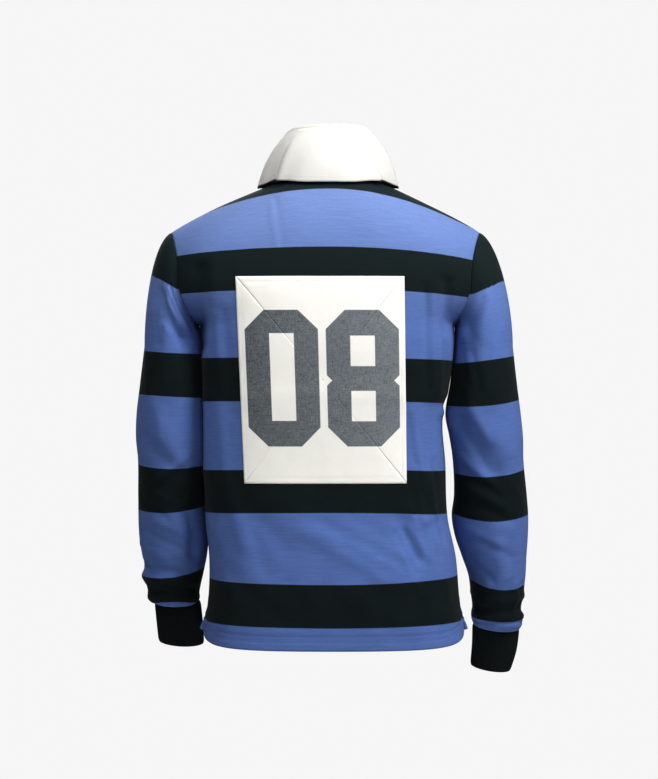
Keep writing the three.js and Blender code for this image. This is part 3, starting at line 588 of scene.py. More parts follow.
def lower_body(side, u, h):
    """From the hem to the underarm: an arc of the torso's section at each height. Its sides are pressed in
    by the sleeves, and its corners are turned out at the vents."""
    edge = np.abs(u)
    sewn = (h - VENT_SHARE) / (1 - VENT_SHARE)
    below = blend(hem_height(side, u), VENT_TOP, h / VENT_SHARE)
    z = np.where(sewn < 0, below, blend(VENT_TOP, UNDERARM, sewn))
    angle = u * math.pi / 2
    x = column_at(TORSO, "centre", z) + column_at(TORSO, "half", z) * across_section(angle)
    y = side["sign"] * column_at(TORSO, side["depth"], z) * through_section(angle)
    bottom = np.where(u > 0, PRESS_BOTTOM_LEFT, PRESS_BOTTOM_RIGHT)
    press = PRESS_DEPTH * ease((PRESS_TOP - z) / PRESS_TOP_RUN) * ease((z - bottom) / PRESS_BOTTOM_RUN)
    vent = np.clip((VENT_TOP - z) / (VENT_TOP - BACK_HEM), 0, 1) * edge**8
    x = x - np.sign(u) * press * np.exp(-((y / PRESS_WIDTH) ** 2)) + np.sign(u) * side["flare"] * vent
    y = y + side["sign"] * VENT_TURN * vent
    return points_of(x, y, z)


def beside_armhole(side, u, s):
    """From the underarm to the armhole's widest level: the arc opens, and its ends climb a quarter round."""
    turn = np.sin(s * math.pi / 2)
    middle_z = blend(UNDERARM, side["blade"], s)
    edge_z = UNDERARM + ARMHOLE_LOWER * (1 - np.cos(s * math.pi / 2))
    widest = blend(math.pi / 2, side["armhole"], turn)
    scale = (UNDERARM_HALF + ARMHOLE_SPREAD * ease(s)) / across_section(widest)
    return points_of(
        column_at(TORSO, "centre", middle_z) + scale * across_section(u * widest),
        side["sign"] * column_at(TORSO, side["depth"], middle_z) * through_section(u * widest),
        blend(middle_z, edge_z, np.abs(u) ** ROW_DROOP),
    )


def top_edge(side, u):
    """The neckline, an arc from the neck's point over the middle, then the shoulder seam down to its tip."""
    edge = np.abs(u)
    a = np.clip(edge / NECK_SHARE, 0, 1) * math.pi / 2
    cosine = np.maximum(np.cos(a), 0)
    neck = points_of(
        np.sign(u) * NECK_HALF * np.sin(a),
        NECK_POINT_Y + side["sign"] * side["neck_depth"] * cosine,
        NECK_POINT_Z + side["neck_rise"] * cosine ** side["neck_power"],
    )
    share = np.clip((edge - NECK_SHARE) / (1 - NECK_SHARE), 0, 1)
    shoulder = points_of(
        np.sign(u) * (NECK_HALF + SHOULDER_RUN * share) + GIRDLE_SHIFT * ease(1.6 * share),
        NECK_POINT_Y - 4 * np.sin(share * math.pi),
        NECK_POINT_Z - SHOULDER_SLOPE * SHOULDER_RUN * share - SHOULDER_TIP_DROP * share**4,
    )
    return np.where((edge <= NECK_SHARE)[..., None], neck, shoulder)


def over_shoulder(side, u, r):
    """From the armhole's widest level to the top edge, on a cubic that leaves the lower part smoothly."""
    start = beside_armhole(side, u, np.ones_like(u))
    end = top_edge(side, u)
    reach = SHOULDER_PULL * np.linalg.norm(end - start, axis=-1, keepdims=True)
    leave = unit(start - beside_armhole(side, u, np.full_like(u, 0.98))) * reach
    level = np.array([0.0, -side["sign"], -0.06])
    turn = ease(np.abs(u) / NECK_SHARE / 1.1)[..., None]
    arrive = unit(blend(side["neck_lean"], level, turn)) * reach
    return cubic(start, leave, end, arrive, r)


def panel_form(side, u, h):
    """A whole panel without its folds: h is 0 at the hem, 1 at the underarm, 2 at the armhole's widest level
    and 3 at the top edge, and u runs from -1 to 1 across it."""
    u, h = np.broadcast_arrays(np.asarray(u, dtype=float), np.asarray(h, dtype=float))
    lower = lower_body(side, u, np.clip(h, 0, 1))
    beside = beside_armhole(side, u, np.clip(h - 1, 0, 1))
    over = over_shoulder(side, u, np.clip(h - 2, 0, 1))
    level = h[..., None]
    return np.where(level <= 1, lower, np.where(level <= 2, beside, over))


def panel_normal(side, u, h, step=0.01):
    """The direction out of the panel: across the cloth crossed with up the cloth."""
    across = panel_form(side, u + step, h) - panel_form(side, u - step, h)
    up = panel_form(side, u, np.minimum(h + step, 3)) - panel_form(side, u, np.maximum(h - step, 0))
    return unit(np.cross(across, up)) * -side["sign"]


def panel_point(side, u, h, lift=0.0):
    """The panel with its folds, which die away towards its edges, and with its seams and hem pressed in."""
    u, h = np.broadcast_arrays(np.asarray(u, dtype=float), np.asarray(h, dtype=float))
    form = panel_form(side, u, h)
    calm = ease((1 - np.abs(u)) / SIDE_CALM) * ease((TOP_CALM - h) / TOP_CALM_RUN)
    height = calm * fold_height(side["folds"] + side["creases"], form[..., 0], form[..., 2])
    from_side = (1 - np.abs(u)) * PANEL_ARC
    from_hem = form[..., 2] - hem_height(side, u)
    from_top = (3 - h) * TOP_ARC
    height = height - SEAM_SINK * np.exp(-((from_side / 3.0) ** 2)) * (form[..., 2] > VENT_TOP)
    height = height - HEM_SINK * np.exp(-(((from_hem - HEM_DEPTH) / 2.0) ** 2))
    height = height - TOP_SINK * np.exp(-((from_top / 4) ** 2))
    height = height - HEM_SECOND_SINK * np.exp(-(((from_hem - HEM_SECOND_ROW) / 1.8) ** 2))
    return form + panel_normal(side, u, h) * (height + lift)[..., None]


def arm_section(rows, hand, z, angle):
    """A sleeve's section: an oval, with the angle 0 on its outer side and a quarter turn at the back. Its
    back is lower as the sleeve leans forward, and its outer side by the slope."""
    outer = column_at(rows, "outer", z)
    inner = column_at(rows, "inner", z)
    through = column_at(rows, "deep", z) * np.sin(angle)
    lean = np.radians(column_at(rows, "lean", z))
    aside = (outer - inner) / 2 * np.cos(angle)
    return points_of(
        hand * ((outer + inner) / 2 + aside),
        column_at(rows, "middle", z) + through * np.cos(lean),
        z - through * np.sin(lean) - aside * column_at(rows, "slope", z),
    )


def armhole_edge(hand, angle):
    """The armhole's edge by the angle round the arm, from the shoulder's tip down the back, through the
    underarm at half a turn and up the front."""
    climb = ARMHOLE_STEPS * np.abs(1 - angle / math.pi)
    lower = 1 + climb / ARMHOLE_LOWER_STEPS
    upper = 2 + (climb - ARMHOLE_LOWER_STEPS) / (ARMHOLE_STEPS - ARMHOLE_LOWER_STEPS)
    h = np.where(climb <= ARMHOLE_LOWER_STEPS, lower, np.minimum(upper, 3))
    behind = panel_form(BACK, np.full_like(h, hand), h)
    before = panel_form(FRONT, np.full_like(h, hand), h)
    return np.where((angle <= math.pi)[..., None], behind, before)


def sleeve_head(rows, hand, angle, t):
    """From the armhole's edge round to the first level section, on a cubic that leaves outwards, most so at
    the top, and arrives straight down."""
    end = arm_section(rows, hand, rows["z"][-1], angle)
    top = (1 + np.cos(angle)) / 2
    away = unit(points_of(hand * blend(1, 0.9, top), HEAD_TURN * np.sin(angle), -HEAD_DROP * top))
    start = armhole_edge(hand, angle) - away * 0.1
    leave = away * blend(HEAD_LEAVE_BESIDE, HEAD_LEAVE_TIP, top)[..., None]
    down = points_of(0, 0, -blend(HEAD_ARRIVE_BESIDE, HEAD_ARRIVE_TIP, top**0.8))
    return cubic(start, leave, end, down, t)


def grid_normals(points, closed, outward):
    """The direction out of a grid: along its rows crossed with up its columns, turned by outward."""
    up = np.gradient(points, axis=0)
    if closed:
        wrapped = np.concatenate([points[:, -1:], points, points[:, :1]], axis=1)
        along = np.gradient(wrapped, axis=1)[:, 1:-1]
    else:
        along = np.gradient(points, axis=1)
    return unit(np.cross(along, up)) * outward


def shell(points, thickness, closed=False, outward=1.0, shown=None):
    """A closed wall: the grid of points, the same grid moved in by the thickness, and a strip along each
    open edge. Returns vertices, quads, the quads' places in the grid and which quads are smooth."""
    rows, columns = points.shape[:2]
    normals = grid_normals(points, closed, outward)
    inner = points - normals * np.broadcast_to(thickness, (rows, columns))[..., None]
    i, j = np.meshgrid(np.arange(rows - 1), np.arange(columns if closed else columns - 1), indexing="ij")
    if shown is not None:
        i, j = i[shown], j[shown]
    i, j = i.ravel(), j.ravel()
    corner_rows = np.stack([i, i, i + 1, i + 1], axis=1)
    corner_columns = np.stack([j, j + 1, j + 1, j], axis=1)
    if outward < 0:
        corner_rows = corner_rows[:, ::-1]
        corner_columns = corner_columns[:, ::-1]
    outside = corner_rows * columns + corner_columns % columns
    total = rows * columns
    starts = outside.ravel()
    ends = np.roll(outside, -1, axis=1).ravel()
    border = ~np.isin(starts * total + ends, ends * total + starts)
    a, b = starts[border], ends[border]
    place = np.stack([corner_rows, corner_columns], axis=-1)
    place_a = place.reshape(-1, 2)[border]
    place_b = np.roll(place, -1, axis=1).reshape(-1, 2)[border]
    rim = np.stack([b, a, a + total, b + total], axis=1)
    rim_place = np.stack([place_b, place_a, place_a, place_b], axis=1)
    quads = np.concatenate([outside, outside[:, ::-1] + total, rim])
    places = np.concatenate([place, place[:, ::-1], rim_place])
    smooth = np.arange(len(quads)) < 2 * len(outside)
    vertices = np.concatenate([points.reshape(-1, 3), inner.reshape(-1, 3)])
    return vertices, quads, places, smooth


def mesh_object(name, vertices, faces, smooth=None, uv=None):
    """A mesh of quads or triangles from arrays in millimetres, with its own flat-cloth map in metres."""
    mesh = bpy.data.meshes.new(name)
    corners = faces.shape[1]
    mesh.vertices.add(len(vertices))
    mesh.vertices.foreach_set("co", (np.asarray(vertices) * 0.001).astype(np.float32).ravel())
    mesh.loops.add(faces.size)
    mesh.loops.foreach_set("vertex_index", faces.astype(np.int32).ravel())
    mesh.polygons.add(len(faces))
    mesh.polygons.foreach_set("loop_start", np.arange(0, faces.size, corners, dtype=np.int32))
    mesh.update(calc_edges=True)
    smooth = np.ones(len(faces), dtype=bool) if smooth is None else smooth
    mesh.polygons.foreach_set("use_smooth", smooth)
    if uv is not None:
        layer = mesh.uv_layers.new(name="cloth")
        layer.data.foreach_set("uv", uv.astype(np.float32).ravel())
    mesh.validate()
    made = bpy.data.objects.new(name, mesh)
    bpy.context.scene.collection.objects.link(made)
    return made


def finish_piece(made, material, nodes=()):
    """Gives a piece its material and slot, puts it on the frame, and lets it stand for its solids."""
    made.data.materials.append(material)
    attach(made, "root")
    if nodes:
        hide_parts(*nodes)
    return made


def cloth_piece(name, points, flat_map, thickness, material, slot_name, **shape):
    """A shell of cloth that stands for the solid of the same name. flat_map holds each place on the flat
    cloth, with one more column than the points on a tube."""
    vertices, quads, places, smooth = shell(points, thickness, **shape)
    uv = flat_map[places[..., 0], places[..., 1]]
    return finish_piece(mesh_object(name, vertices, quads, smooth, uv), material, [name])


def cloth_distance(z, changes, marks):
    """How far down the flat cloth a point lies: from each stripe's change to the next, by its share of the
    height between the two."""
    distance = np.full(z.shape, marks[0])
    for k in range(len(marks) - 1):
        share = np.clip((changes[k] - z) / (changes[k] - changes[k + 1]), 0, 1)
        distance = distance + share * (marks[k + 1] - marks[k])
    return distance


def stripe_marks(count, first):
    """The places of the stripes' changes on the flat cloth, blue and dark in turn."""
    k = np.arange(count)
    return first + (k // 2) * STRIPE_REPEAT + (k % 2) * BLUE_STRIPE


def body_map(points, u):
    """The flat-cloth map of a panel: across it by its arc, down it by the stripes."""
    x, z = points[..., 0], points[..., 2]
    rows = np.array(BODY_STRIPES)[::-1]
    aside = (x / DROOP_HALF) ** 2
    level = z
    for _ in range(3):
        left = np.interp(level, rows[:, 0], rows[:, 1])
        right = np.interp(level, rows[:, 0], rows[:, 2])
        level = z + np.where(x > 0, left, right) * aside
    changes = [row[0] for row in BODY_STRIPES]
    marks = stripe_marks(len(changes), 0.0)
    changes = [changes[0] + 200, *changes, changes[-1] - 100]
    marks = [marks[0] - 0.2, *marks, marks[-1] + 0.1]
    return np.stack([u * PANEL_ARC * 0.001, cloth_distance(level, changes, marks)], axis=-1)


def sleeve_map(points, angles, stripes):
    """The flat-cloth map of a sleeve: round it by the angle, down it by the stripes, whose heights follow a
    curve from the outer side over the back to the inner side."""
    turned = np.append(angles, 2 * math.pi)
    wrapped = np.concatenate([points, points[:, :1]], axis=1)
    z = wrapped[..., 2]
    outer, middle, inner = np.array(stripes).T
    c = np.cos(turned)[None, :]
    fall = (outer - inner)[:, None] / 2
    bow = ((outer + inner) / 2 - middle)[:, None]
    changes = middle[:, None] + fall * c + bow * c * c
    marks = stripe_marks(len(stripes), STRIPE_REPEAT)
    changes = np.concatenate([changes[:1] + 140, changes, changes[-1:] - 60])
    marks = [marks[0] - 0.061, *marks, marks[-1] + 0.06]
    down = cloth_distance(z, changes[:, None, :], marks)
    around = np.broadcast_to(np.degrees(turned) * FOLD_ARC * 0.001, z.shape)
    return np.stack([around, down], axis=-1)


class Value:
    """A number from a node's socket. Each sum, product or comparison of it adds a Math node."""

    def __init__(self, tree, socket):
        self.tree = tree
        self.socket = socket

    def put(self, operation, first, second=None):
        node = self.tree.nodes.new("ShaderNodeMath")
        node.operation = operation
        for socket, value in zip(node.inputs, (first, second)):
            if isinstance(value, Value):
                self.tree.links.new(value.socket, socket)
            elif value is not None:
                socket.default_value = value
        return Value(self.tree, node.outputs[0])

    def __add__(self, other):
        return self.put("ADD", self, other)

    __radd__ = __add__

    def __sub__(self, other):
        return self.put("SUBTRACT", self, other)

    def __rsub__(self, other):
        return self.put("SUBTRACT", other, self)

    def __mul__(self, other):
        return self.put("MULTIPLY", self, other)

    __rmul__ = __mul__

    def __truediv__(self, other):
        return self.put("DIVIDE", self, other)

    def __abs__(self):
        return self.put("ABSOLUTE", self)

    def fraction(self):
        return self.put("FRACT", self)

    def sine(self):
        return self.put("SINE", self)

    def least(self, other):
        return self.put("MINIMUM", self, other)

    def most(self, other):
        return self.put("MAXIMUM", self, other)

    def clamped(self):
        return self.put("MAXIMUM", self.put("MINIMUM", self, 1.0), 0.0)


class Finish:
    """A material of one shader, with the nodes that vary its colour, roughness and relief."""

    def __init__(self, name, roughness, sheen=0.0, sheen_roughness=0.5, specular=0.5):
        self.material = bpy.data.materials.new(name)
        self.material.use_nodes = True
        self.tree = self.material.node_tree
        self.shader = self.tree.nodes["Principled BSDF"]
        self.shader.inputs["Roughness"].default_value = roughness
        self.shader.inputs["Sheen Weight"].default_value = sheen
        self.shader.inputs["Sheen Roughness"].default_value = sheen_roughness
        self.shader.inputs["Specular IOR Level"].default_value = specular

    def node(self, kind, settings=None, values=None, output=0):
        """A node of any kind: first its settings, then its sockets' values or links."""
        made = self.tree.nodes.new("ShaderNode" + kind)
        for name, value in (settings or {}).items():
            setattr(made, name, value)
        for name, value in (values or {}).items():
            if isinstance(value, Value):
                self.tree.links.new(value.socket, made.inputs[name])
            else:
                made.inputs[name].default_value = value
        return Value(self.tree, made.outputs[output])

    def cloth(self):
        """The place on the flat cloth, in metres: the whole vector, across it and along it."""
        place = self.node("UVMap", {"uv_map": "cloth"})
        split = self.node("SeparateXYZ", None, {0: place})
        along = Value(self.tree, split.socket.node.outputs[1])
        return place, split, along

    def noise(self, place, scale, detail=2.0, roughness=0.5):
        """Smooth noise from 0 to 1, so many lumps to a metre."""
        values = {"Vector": place, "Scale": scale, "Detail": detail, "Roughness": roughness}
        return self.node("TexNoise", None, values)

    def stretched(self, place, x, y, z=1.0):
        """The place times one number for each axis: below 1, a pattern on it is drawn out."""
        return self.node("VectorMath", {"operation": "MULTIPLY"}, {0: place, 1: (x, y, z)})

    def mix(self, factor, a, b, blending="MIX"):
        """Two colours mixed by a factor."""
        settings = {"data_type": "RGBA", "blend_type": blending}
        return self.node("Mix", settings, {0: factor, 6: a, 7: b}, 2)

    def bump(self, height, distance, strength=1.0):
        """The surface's direction over a relief of a height from 0 to 1."""
        return self.node("Bump", None, {"Strength": strength, "Distance": distance, "Height": height})

    def set(self, name, value):
        """Links a value to the shader's socket of that name."""
        self.tree.links.new(value.socket, self.shader.inputs[name])


def colour(red, green, blue):
    """A colour from 0 to 255 as the shader's linear one."""
    share = np.array([red, green, blue]) / 255
    linear = np.where(share <= 0.04045, share / 12.92, ((share + 0.055) / 1.055) ** 2.4)
    return (*[float(v) for v in linear], 1.0)


def striped_jersey():
    """Heavy knitted cotton: soft-edged stripes along the flat cloth, loops, and a light mottling. Both
    stripes are painted lighter towards the shoulders, as painted light from above.
    """
    made = Finish("striped_jersey", 0.95, sheen=0.03, sheen_roughness=0.4, specular=0.12)
    place, across, along = made.cloth()
    ragged = along + (made.noise(place, 900.0, 1.0) - 0.5) * 0.0008
    dark_middle = (BLUE_STRIPE + STRIPE_REPEAT) / 2
    turn = (ragged / STRIPE_REPEAT + (0.5 - dark_middle / STRIPE_REPEAT)).fraction() - 0.5
    inside_dark = (STRIPE_REPEAT - BLUE_STRIPE) / 2 - abs(turn) * STRIPE_REPEAT
    dark = (inside_dark / 0.0009 + 0.5).clamped()
    grain = made.noise(made.stretched(place, 1.0, 0.7), 620.0, 3.0, 0.6)
    cloud = made.noise(place, 28.0, 3.0)
    streaks = made.noise(made.stretched(place, 0.07, 1.0), 420.0, 3.0, 0.6)
    blue = made.mix(cloud, colour(93, 118, 174), colour(103, 129, 185))
    # Painted light from above: the blue and the dark stripes are mixed towards lighter colours near the
    # shoulders.
    height = made.node("SeparateXYZ", None, {0: made.node("TexCoord", None, None, 3)}, 2)
    painted_top_light = ((height + TOP_LIGHT_DEPTH) * (1 / TOP_LIGHT_RUN)).clamped()
    blue = made.mix(painted_top_light, blue, colour(122, 143, 190))
    night = made.mix(cloud, colour(20, 30, 31), colour(27, 37, 38))
    night = made.mix(painted_top_light, night, colour(33, 45, 46))
    base = made.mix(dark, blue, night)
    lighter = made.mix((grain * 1.6 - 0.45).clamped(), (0.8, 0.8, 0.82, 1), (1.0, 1.0, 1.0, 1))
    streaked = made.mix((streaks * 2.4 - 0.7).clamped(), (0.84, 0.85, 0.88, 1), (1.0, 1.0, 1.0, 1))
    base = made.mix(1.0, base, lighter, "MULTIPLY")
    made.set("Base Color", made.mix(1.0, base, streaked, "MULTIPLY"))
    wales = abs((across * (math.pi / JERSEY_WALE)).sine())
    loops = wales * 0.5 + grain + streaks * 0.8
    made.set("Normal", made.bump(loops, 0.0006, 0.35))
    return made.material


def rib_knit():
    """A close dark knit over the ribs' own relief."""
    made = Finish("rib_knit", 0.95, sheen=0.02, specular=0.1)
    place = made.cloth()[0]
    grain = made.noise(made.stretched(place, 1.0, 0.5), 700.0, 3.0, 0.6)
    made.set("Base Color", made.mix(grain, colour(10, 15, 16), colour(26, 33, 35)))
    made.set("Normal", made.bump(grain, 0.0005, 0.4))
    return made.material


def twill_relief(across, along):
    """Fine ribs that run diagonally over the cloth."""
    return ((across + along * 0.8) * (2 * math.pi / TWILL_RIB)).sine() * 0.5 + 0.5


def collar_twill():
    """White twill, its hollows a little darker as painted shade."""
    made = Finish("collar_twill", 0.82, sheen=0.05, specular=0.3)
    place, across, along = made.cloth()
    ribs = twill_relief(across, along)
    cloud = made.noise(place, 45.0, 3.0)
    grain = made.noise(place, 900.0, 2.0)
    white = made.mix(cloud, colour(200, 198, 193), colour(212, 211, 207))
    # Painted shade in the twill's hollows: the colour is darkened where the ribs sink.
    shade = made.mix(ribs, (0.95, 0.95, 0.95, 1), (1, 1, 1, 1))
    made.set("Base Color", made.mix(1.0, white, shade, "MULTIPLY"))
    made.set("Normal", made.bump(ribs * 0.6 + grain, 0.0004, 0.35))
    return made.material


def patch_twill():
    """Off-white twill with block numerals, whose corners are cut off, in a worn grey print."""
    made = Finish("patch_twill", 0.85, sheen=0.05, specular=0.3)
    place, across, along = made.cloth()

    def block(middle):
        """How far outside an eight-cornered block a place is: the most of its three distances."""
        aside = abs(across - middle)
        above = abs(along - NUMERAL_MIDDLE)
        corner = NUMERAL_HALF_WIDTH + NUMERAL_HALF_HEIGHT - NUMERAL_CHAMFER
        outside = (aside - NUMERAL_HALF_WIDTH).most(above - NUMERAL_HALF_HEIGHT)
        return aside, outside.most(aside + above - corner)

    def counter(aside, low, high):
        """How far outside a numeral's oblong opening a place is."""
        return (aside - COUNTER_HALF).most(abs(along - (low + high) / 2) - (high - low) / 2)

    aside, zero = block(ZERO_MIDDLE)
    zero = zero.most(0.0 - counter(aside, *ZERO_COUNTER))
    aside, eight = block(EIGHT_MIDDLE)
    waist = aside - abs(along - EIGHT_WAIST) - (NUMERAL_HALF_WIDTH - EIGHT_WAIST_DEPTH)
    eight = eight.most(waist)
    for low, high in EIGHT_COUNTERS:
        eight = eight.most(0.0 - counter(aside, low, high))
    ink = (0.5 - zero.least(eight) / 0.0008).clamped()
    ribs = twill_relief(across, along)
    cloud = made.noise(place, 40.0, 3.0)
    grain = made.noise(made.stretched(place, 1.0, 0.6), 520.0, 3.0, 0.65)
    worn = made.noise(place, 70.0, 4.0, 0.7)
    threads_down = made.noise(made.stretched(place, 1.0, 0.12), 700.0, 2.0)
    threads_across = made.noise(made.stretched(place, 0.12, 1.0), 700.0, 2.0)
    lighter = (across / 0.24 * 0.5 + worn * 0.55 + (threads_down + threads_across - 1.0) * 0.9).clamped()
    cream = made.mix(cloud, colour(233, 231, 224), colour(241, 240, 235))
    grey = made.mix(lighter, colour(48, 57, 64), colour(120, 127, 133))
    speckled = (ink * (1.1 - grain * 0.3)).clamped() * ink
    base = made.mix(speckled, cream, grey)
    shade = made.mix(ribs, (0.93, 0.93, 0.93, 1), (1, 1, 1, 1))
    made.set("Base Color", made.mix(1.0, base, shade, "MULTIPLY"))
    made.set("Normal", made.bump(ribs * 0.6 + grain, 0.0005, 0.4))
    return made.material


def soft_rubber():
    """Off-white rubber, a little cloudy."""
    made = Finish("rubber_button", 0.5, specular=0.4)
    place = made.node("TexCoord", None, None, 3)
    cloud = made.noise(place, 220.0, 2.0)
    made.set("Base Color", made.mix(cloud, colour(222, 219, 208), colour(232, 229, 220)))
    made.set("Roughness", cloud * 0.2 + 0.4)
    return made.material


def thread(name, dark, light):
    """Sewing thread, twisted: small bands of light and dark."""
    made = Finish(name, 0.7, sheen=0.1, specular=0.3)
    place = made.node("TexCoord", None, None, 3)
    made.set("Base Color", made.mix(made.noise(place, 1500.0, 1.0), dark, light))
    return made.material


JERSEY_FINISH = striped_jersey()
RIB_FINISH = rib_knit()
TWILL_FINISH = collar_twill()
PATCH_FINISH = patch_twill()
RUBBER_FINISH = soft_rubber()
WHITE_THREAD = thread("white_thread", colour(205, 203, 196), colour(235, 233, 228))
BLUE_THREAD = thread("blue_thread", colour(70, 92, 140), colour(96, 122, 176))


def panel_levels(*counts):
    """The levels of a panel's rows: within the vents, up to the underarm, beside the armhole and over it."""
    stops = [0.0, VENT_SHARE, 1.0, 2.0, 3.0]
    parts = [np.linspace(a, b, n, endpoint=False) for a, b, n in zip(stops, stops[1:], counts)]
    return np.append(np.concatenate(parts), stops[-1])


def hem_thickness(side, points, u):
    """The cloth's thickness at each point: more within the turned hem."""
    above = points[..., 2] - hem_height(side, u)
    return np.where(above < HEM_DEPTH, JERSEY + HEM_EXTRA, JERSEY)


back_u, back_h = np.meshgrid(np.linspace(-1, 1, BACK_COLUMNS + 1), panel_levels(20, 130, 32, 44))
back_points = panel_point(BACK, back_u, back_h)
back_map = body_map(back_points, back_u)
back_hem = hem_thickness(BACK, back_points, back_u)
back = cloth_piece("back", back_points, back_map, back_hem, JERSEY_FINISH, "striped_jersey", outward=-1.0)

front_shares = np.linspace(SLIT_SHARE, 1, FRONT_COLUMNS // 2)
front_shares = np.concatenate([-front_shares[::-1], front_shares])
front_u, front_h = np.meshgrid(front_shares, panel_levels(16, 110, 28, 38))
front_points = panel_point(FRONT, front_u, front_h)
front_hem = hem_thickness(FRONT, front_points, front_u)
middle_column = len(front_shares) // 2 - 1
front_shown = np.ones((front_u.shape[0] - 1, front_u.shape[1] - 1), dtype=bool)
front_shown[:, middle_column] = front_points[:-1, middle_column, 2] < SLIT_BOTTOM
front = cloth_piece(
    "front",
    front_points,
    body_map(front_points, front_u),
    front_hem,
    JERSEY_FINISH,
    "striped_jersey",
    outward=1.0,
    shown=front_shown,
)

sleeve_angles = np.linspace(0, 2 * math.pi, SLEEVE_COLUMNS_ROUND, endpoint=False)


def sleeve(name, rows, hand, folds, creases, stripes):
    """A sleeve from the armhole to its gathered mouth, with its folds pushed out along its normals."""
    last = rows["z"][0]
    first = rows["z"][-1]
    steps = np.linspace(0, 1, SLEEVE_HEAD_ROWS, endpoint=False)
    heads, angle = np.meshgrid(steps, sleeve_angles, indexing="ij")
    levels, level_angle = np.meshgrid(np.linspace(first, last, SLEEVE_ROWS), sleeve_angles, indexing="ij")
    head = sleeve_head(rows, hand, angle, heads)
    tube = arm_section(rows, hand, levels, level_angle)
    points = np.concatenate([head, tube])
    normals = grid_normals(points, True, -float(hand))
    degrees = np.degrees(np.concatenate([angle, level_angle]))
    settled = np.concatenate([ease(heads * 8 / 3), np.ones_like(levels)])
    z = points[..., 2]
    calm = settled * ease((z - last - 8) / 25) * ease(np.abs(degrees - 180) / 30)
    height = calm * fold_height(folds, degrees * FOLD_ARC, z, FOLD_ARC)
    fine_calm = settled * ease((z - last) / 6)
    height = height + fine_calm * fold_height(creases, degrees * FOLD_ARC, z, FOLD_ARC)
    seam = np.concatenate([-SEAM_SINK * np.exp(-((heads * 100 / 3.0) ** 2)), np.zeros_like(levels)])
    points = points + normals * (height + seam)[..., None]
    flat_map = sleeve_map(points, sleeve_angles, stripes)
    return cloth_piece(
        name, points, flat_map, JERSEY, JERSEY_FINISH, "striped_jersey", closed=True, outward=-float(hand)
    )


sleeve_left = sleeve(
    "sleeve_left", LEFT_SLEEVE, 1, LEFT_SLEEVE_FOLDS, LEFT_SLEEVE_CREASES, LEFT_SLEEVE_STRIPES
)
sleeve_right = sleeve(
    "sleeve_right", RIGHT_SLEEVE, -1, RIGHT_SLEEVE_FOLDS, RIGHT_SLEEVE_CREASES, RIGHT_SLEEVE_STRIPES
)

def cuff(name, rows, hand):
    """A tube of ribs: the section, moved out by a wave that has one crest for each rib and dies away at both
    ends."""
    first, last = rows["z"][-1], rows["z"][0]
    angles = np.linspace(0, 2 * math.pi, CUFF_RIBS * RIB_POINTS, endpoint=False)
    levels, angle = np.meshgrid(np.linspace(first - SEAM_GAP, last, CUFF_ROWS), angles, indexing="ij")
    points = arm_section(rows, hand, levels, angle)
    normals = grid_normals(points, True, -float(hand))
    ends = ease((first - levels) / 5) * ease((levels - last) / 4)
    crest = 0.5 + 0.5 * np.cos(angle * CUFF_RIBS)
    points = points + normals * (ends * RIB_HEIGHT * crest)[..., None]
    turned = np.append(angles, 2 * math.pi)
    around = np.broadcast_to(turned * 0.033, (len(levels), len(turned)))
    down = np.broadcast_to((first - levels[:, :1]) * 0.001, around.shape)
    flat_map = np.stack([around, down], axis=-1)
    thickness = RIB_KNIT - RIB_HEIGHT + ends * RIB_HEIGHT * crest
    outward = -float(hand)
    return cloth_piece(
        name, points, flat_map, thickness, RIB_FINISH, "rib_knit", closed=True, outward=outward
    )


cuff_left = cuff("cuff_left", LEFT_CUFF, 1)
cuff_right = cuff("cuff_right", RIGHT_CUFF, -1)


def neck_seam(a):
    """The neckline by the angle round the neck, 0 at the middle of the back and half a turn in front."""
    share = np.abs(a) / (math.pi / 2)
    behind = top_edge(BACK, np.sign(a) * np.minimum(share, 1) * NECK_SHARE)
    before = top_edge(FRONT, np.sign(a) * np.clip(2 - share, 0, 1) * NECK_SHARE)
    return np.where((share <= 1)[..., None], behind, before)


def fold_line(a):
    """The collar's fold: an oval round the neck that drops towards the front and is tilted a little."""
    low = (1 - np.cos(a)) / 2
    x = FOLD_HALF * np.sin(a)
    y = np.where(np.cos(a) > 0, FOLD_BEHIND, FOLD_BEFORE) * np.cos(a)
    return points_of(x, y, FOLD_TOP - FOLD_DROP * low**FOLD_CURVE - COLLAR_TILT * x)


def away_from_neck(a):
    """The level direction out from the neck's middle at an angle round it."""
    return points_of(np.sin(a), np.cos(a), 0)


def fall_edge(a):
    """The fall's edge: it lies on the back as far as the shoulder, and on the front out to the point."""
    share = np.abs(a) / (math.pi / 2)
    turned = np.maximum(1 - np.cos(np.clip(a, -math.pi / 2, math.pi / 2)), 0)
    level = np.minimum(blend(FALL_BACK_LEVEL, FALL_CORNER_LEVEL, turned**2), FALL_CORNER_LEVEL)
    aside = np.sign(a) * FALL_CORNER_SHARE * np.abs(np.sin(a)) ** 0.8
    bend = np.exp(-(((np.abs(aside) - FALL_BEND_SHARE) / FALL_BEND_WIDTH) ** 2))
    behind = panel_point(BACK, aside, level - FALL_BEND_DROP * bend, COLLAR_LIFT + FALL_BEND_LIFT * bend)
    on = np.clip(share - 1, 0, 1)
    out = np.sign(a) * blend(FALL_CORNER_SHARE, FALL_POINT_SHARE, ease(on))
    before = panel_point(FRONT, out, blend(FALL_CORNER_LEVEL, FALL_POINT_LEVEL, on**1.1), COLLAR_LIFT)
    return np.where((share <= 1)[..., None], behind, before)


def along_stand(a, t):
    """From the neckline up to the fold, bowed out a little."""
    t = np.asarray(t)[..., None]
    return blend(neck_seam(a), fold_line(a), t) + away_from_neck(a) * STAND_BOW * np.sin(t * math.pi)


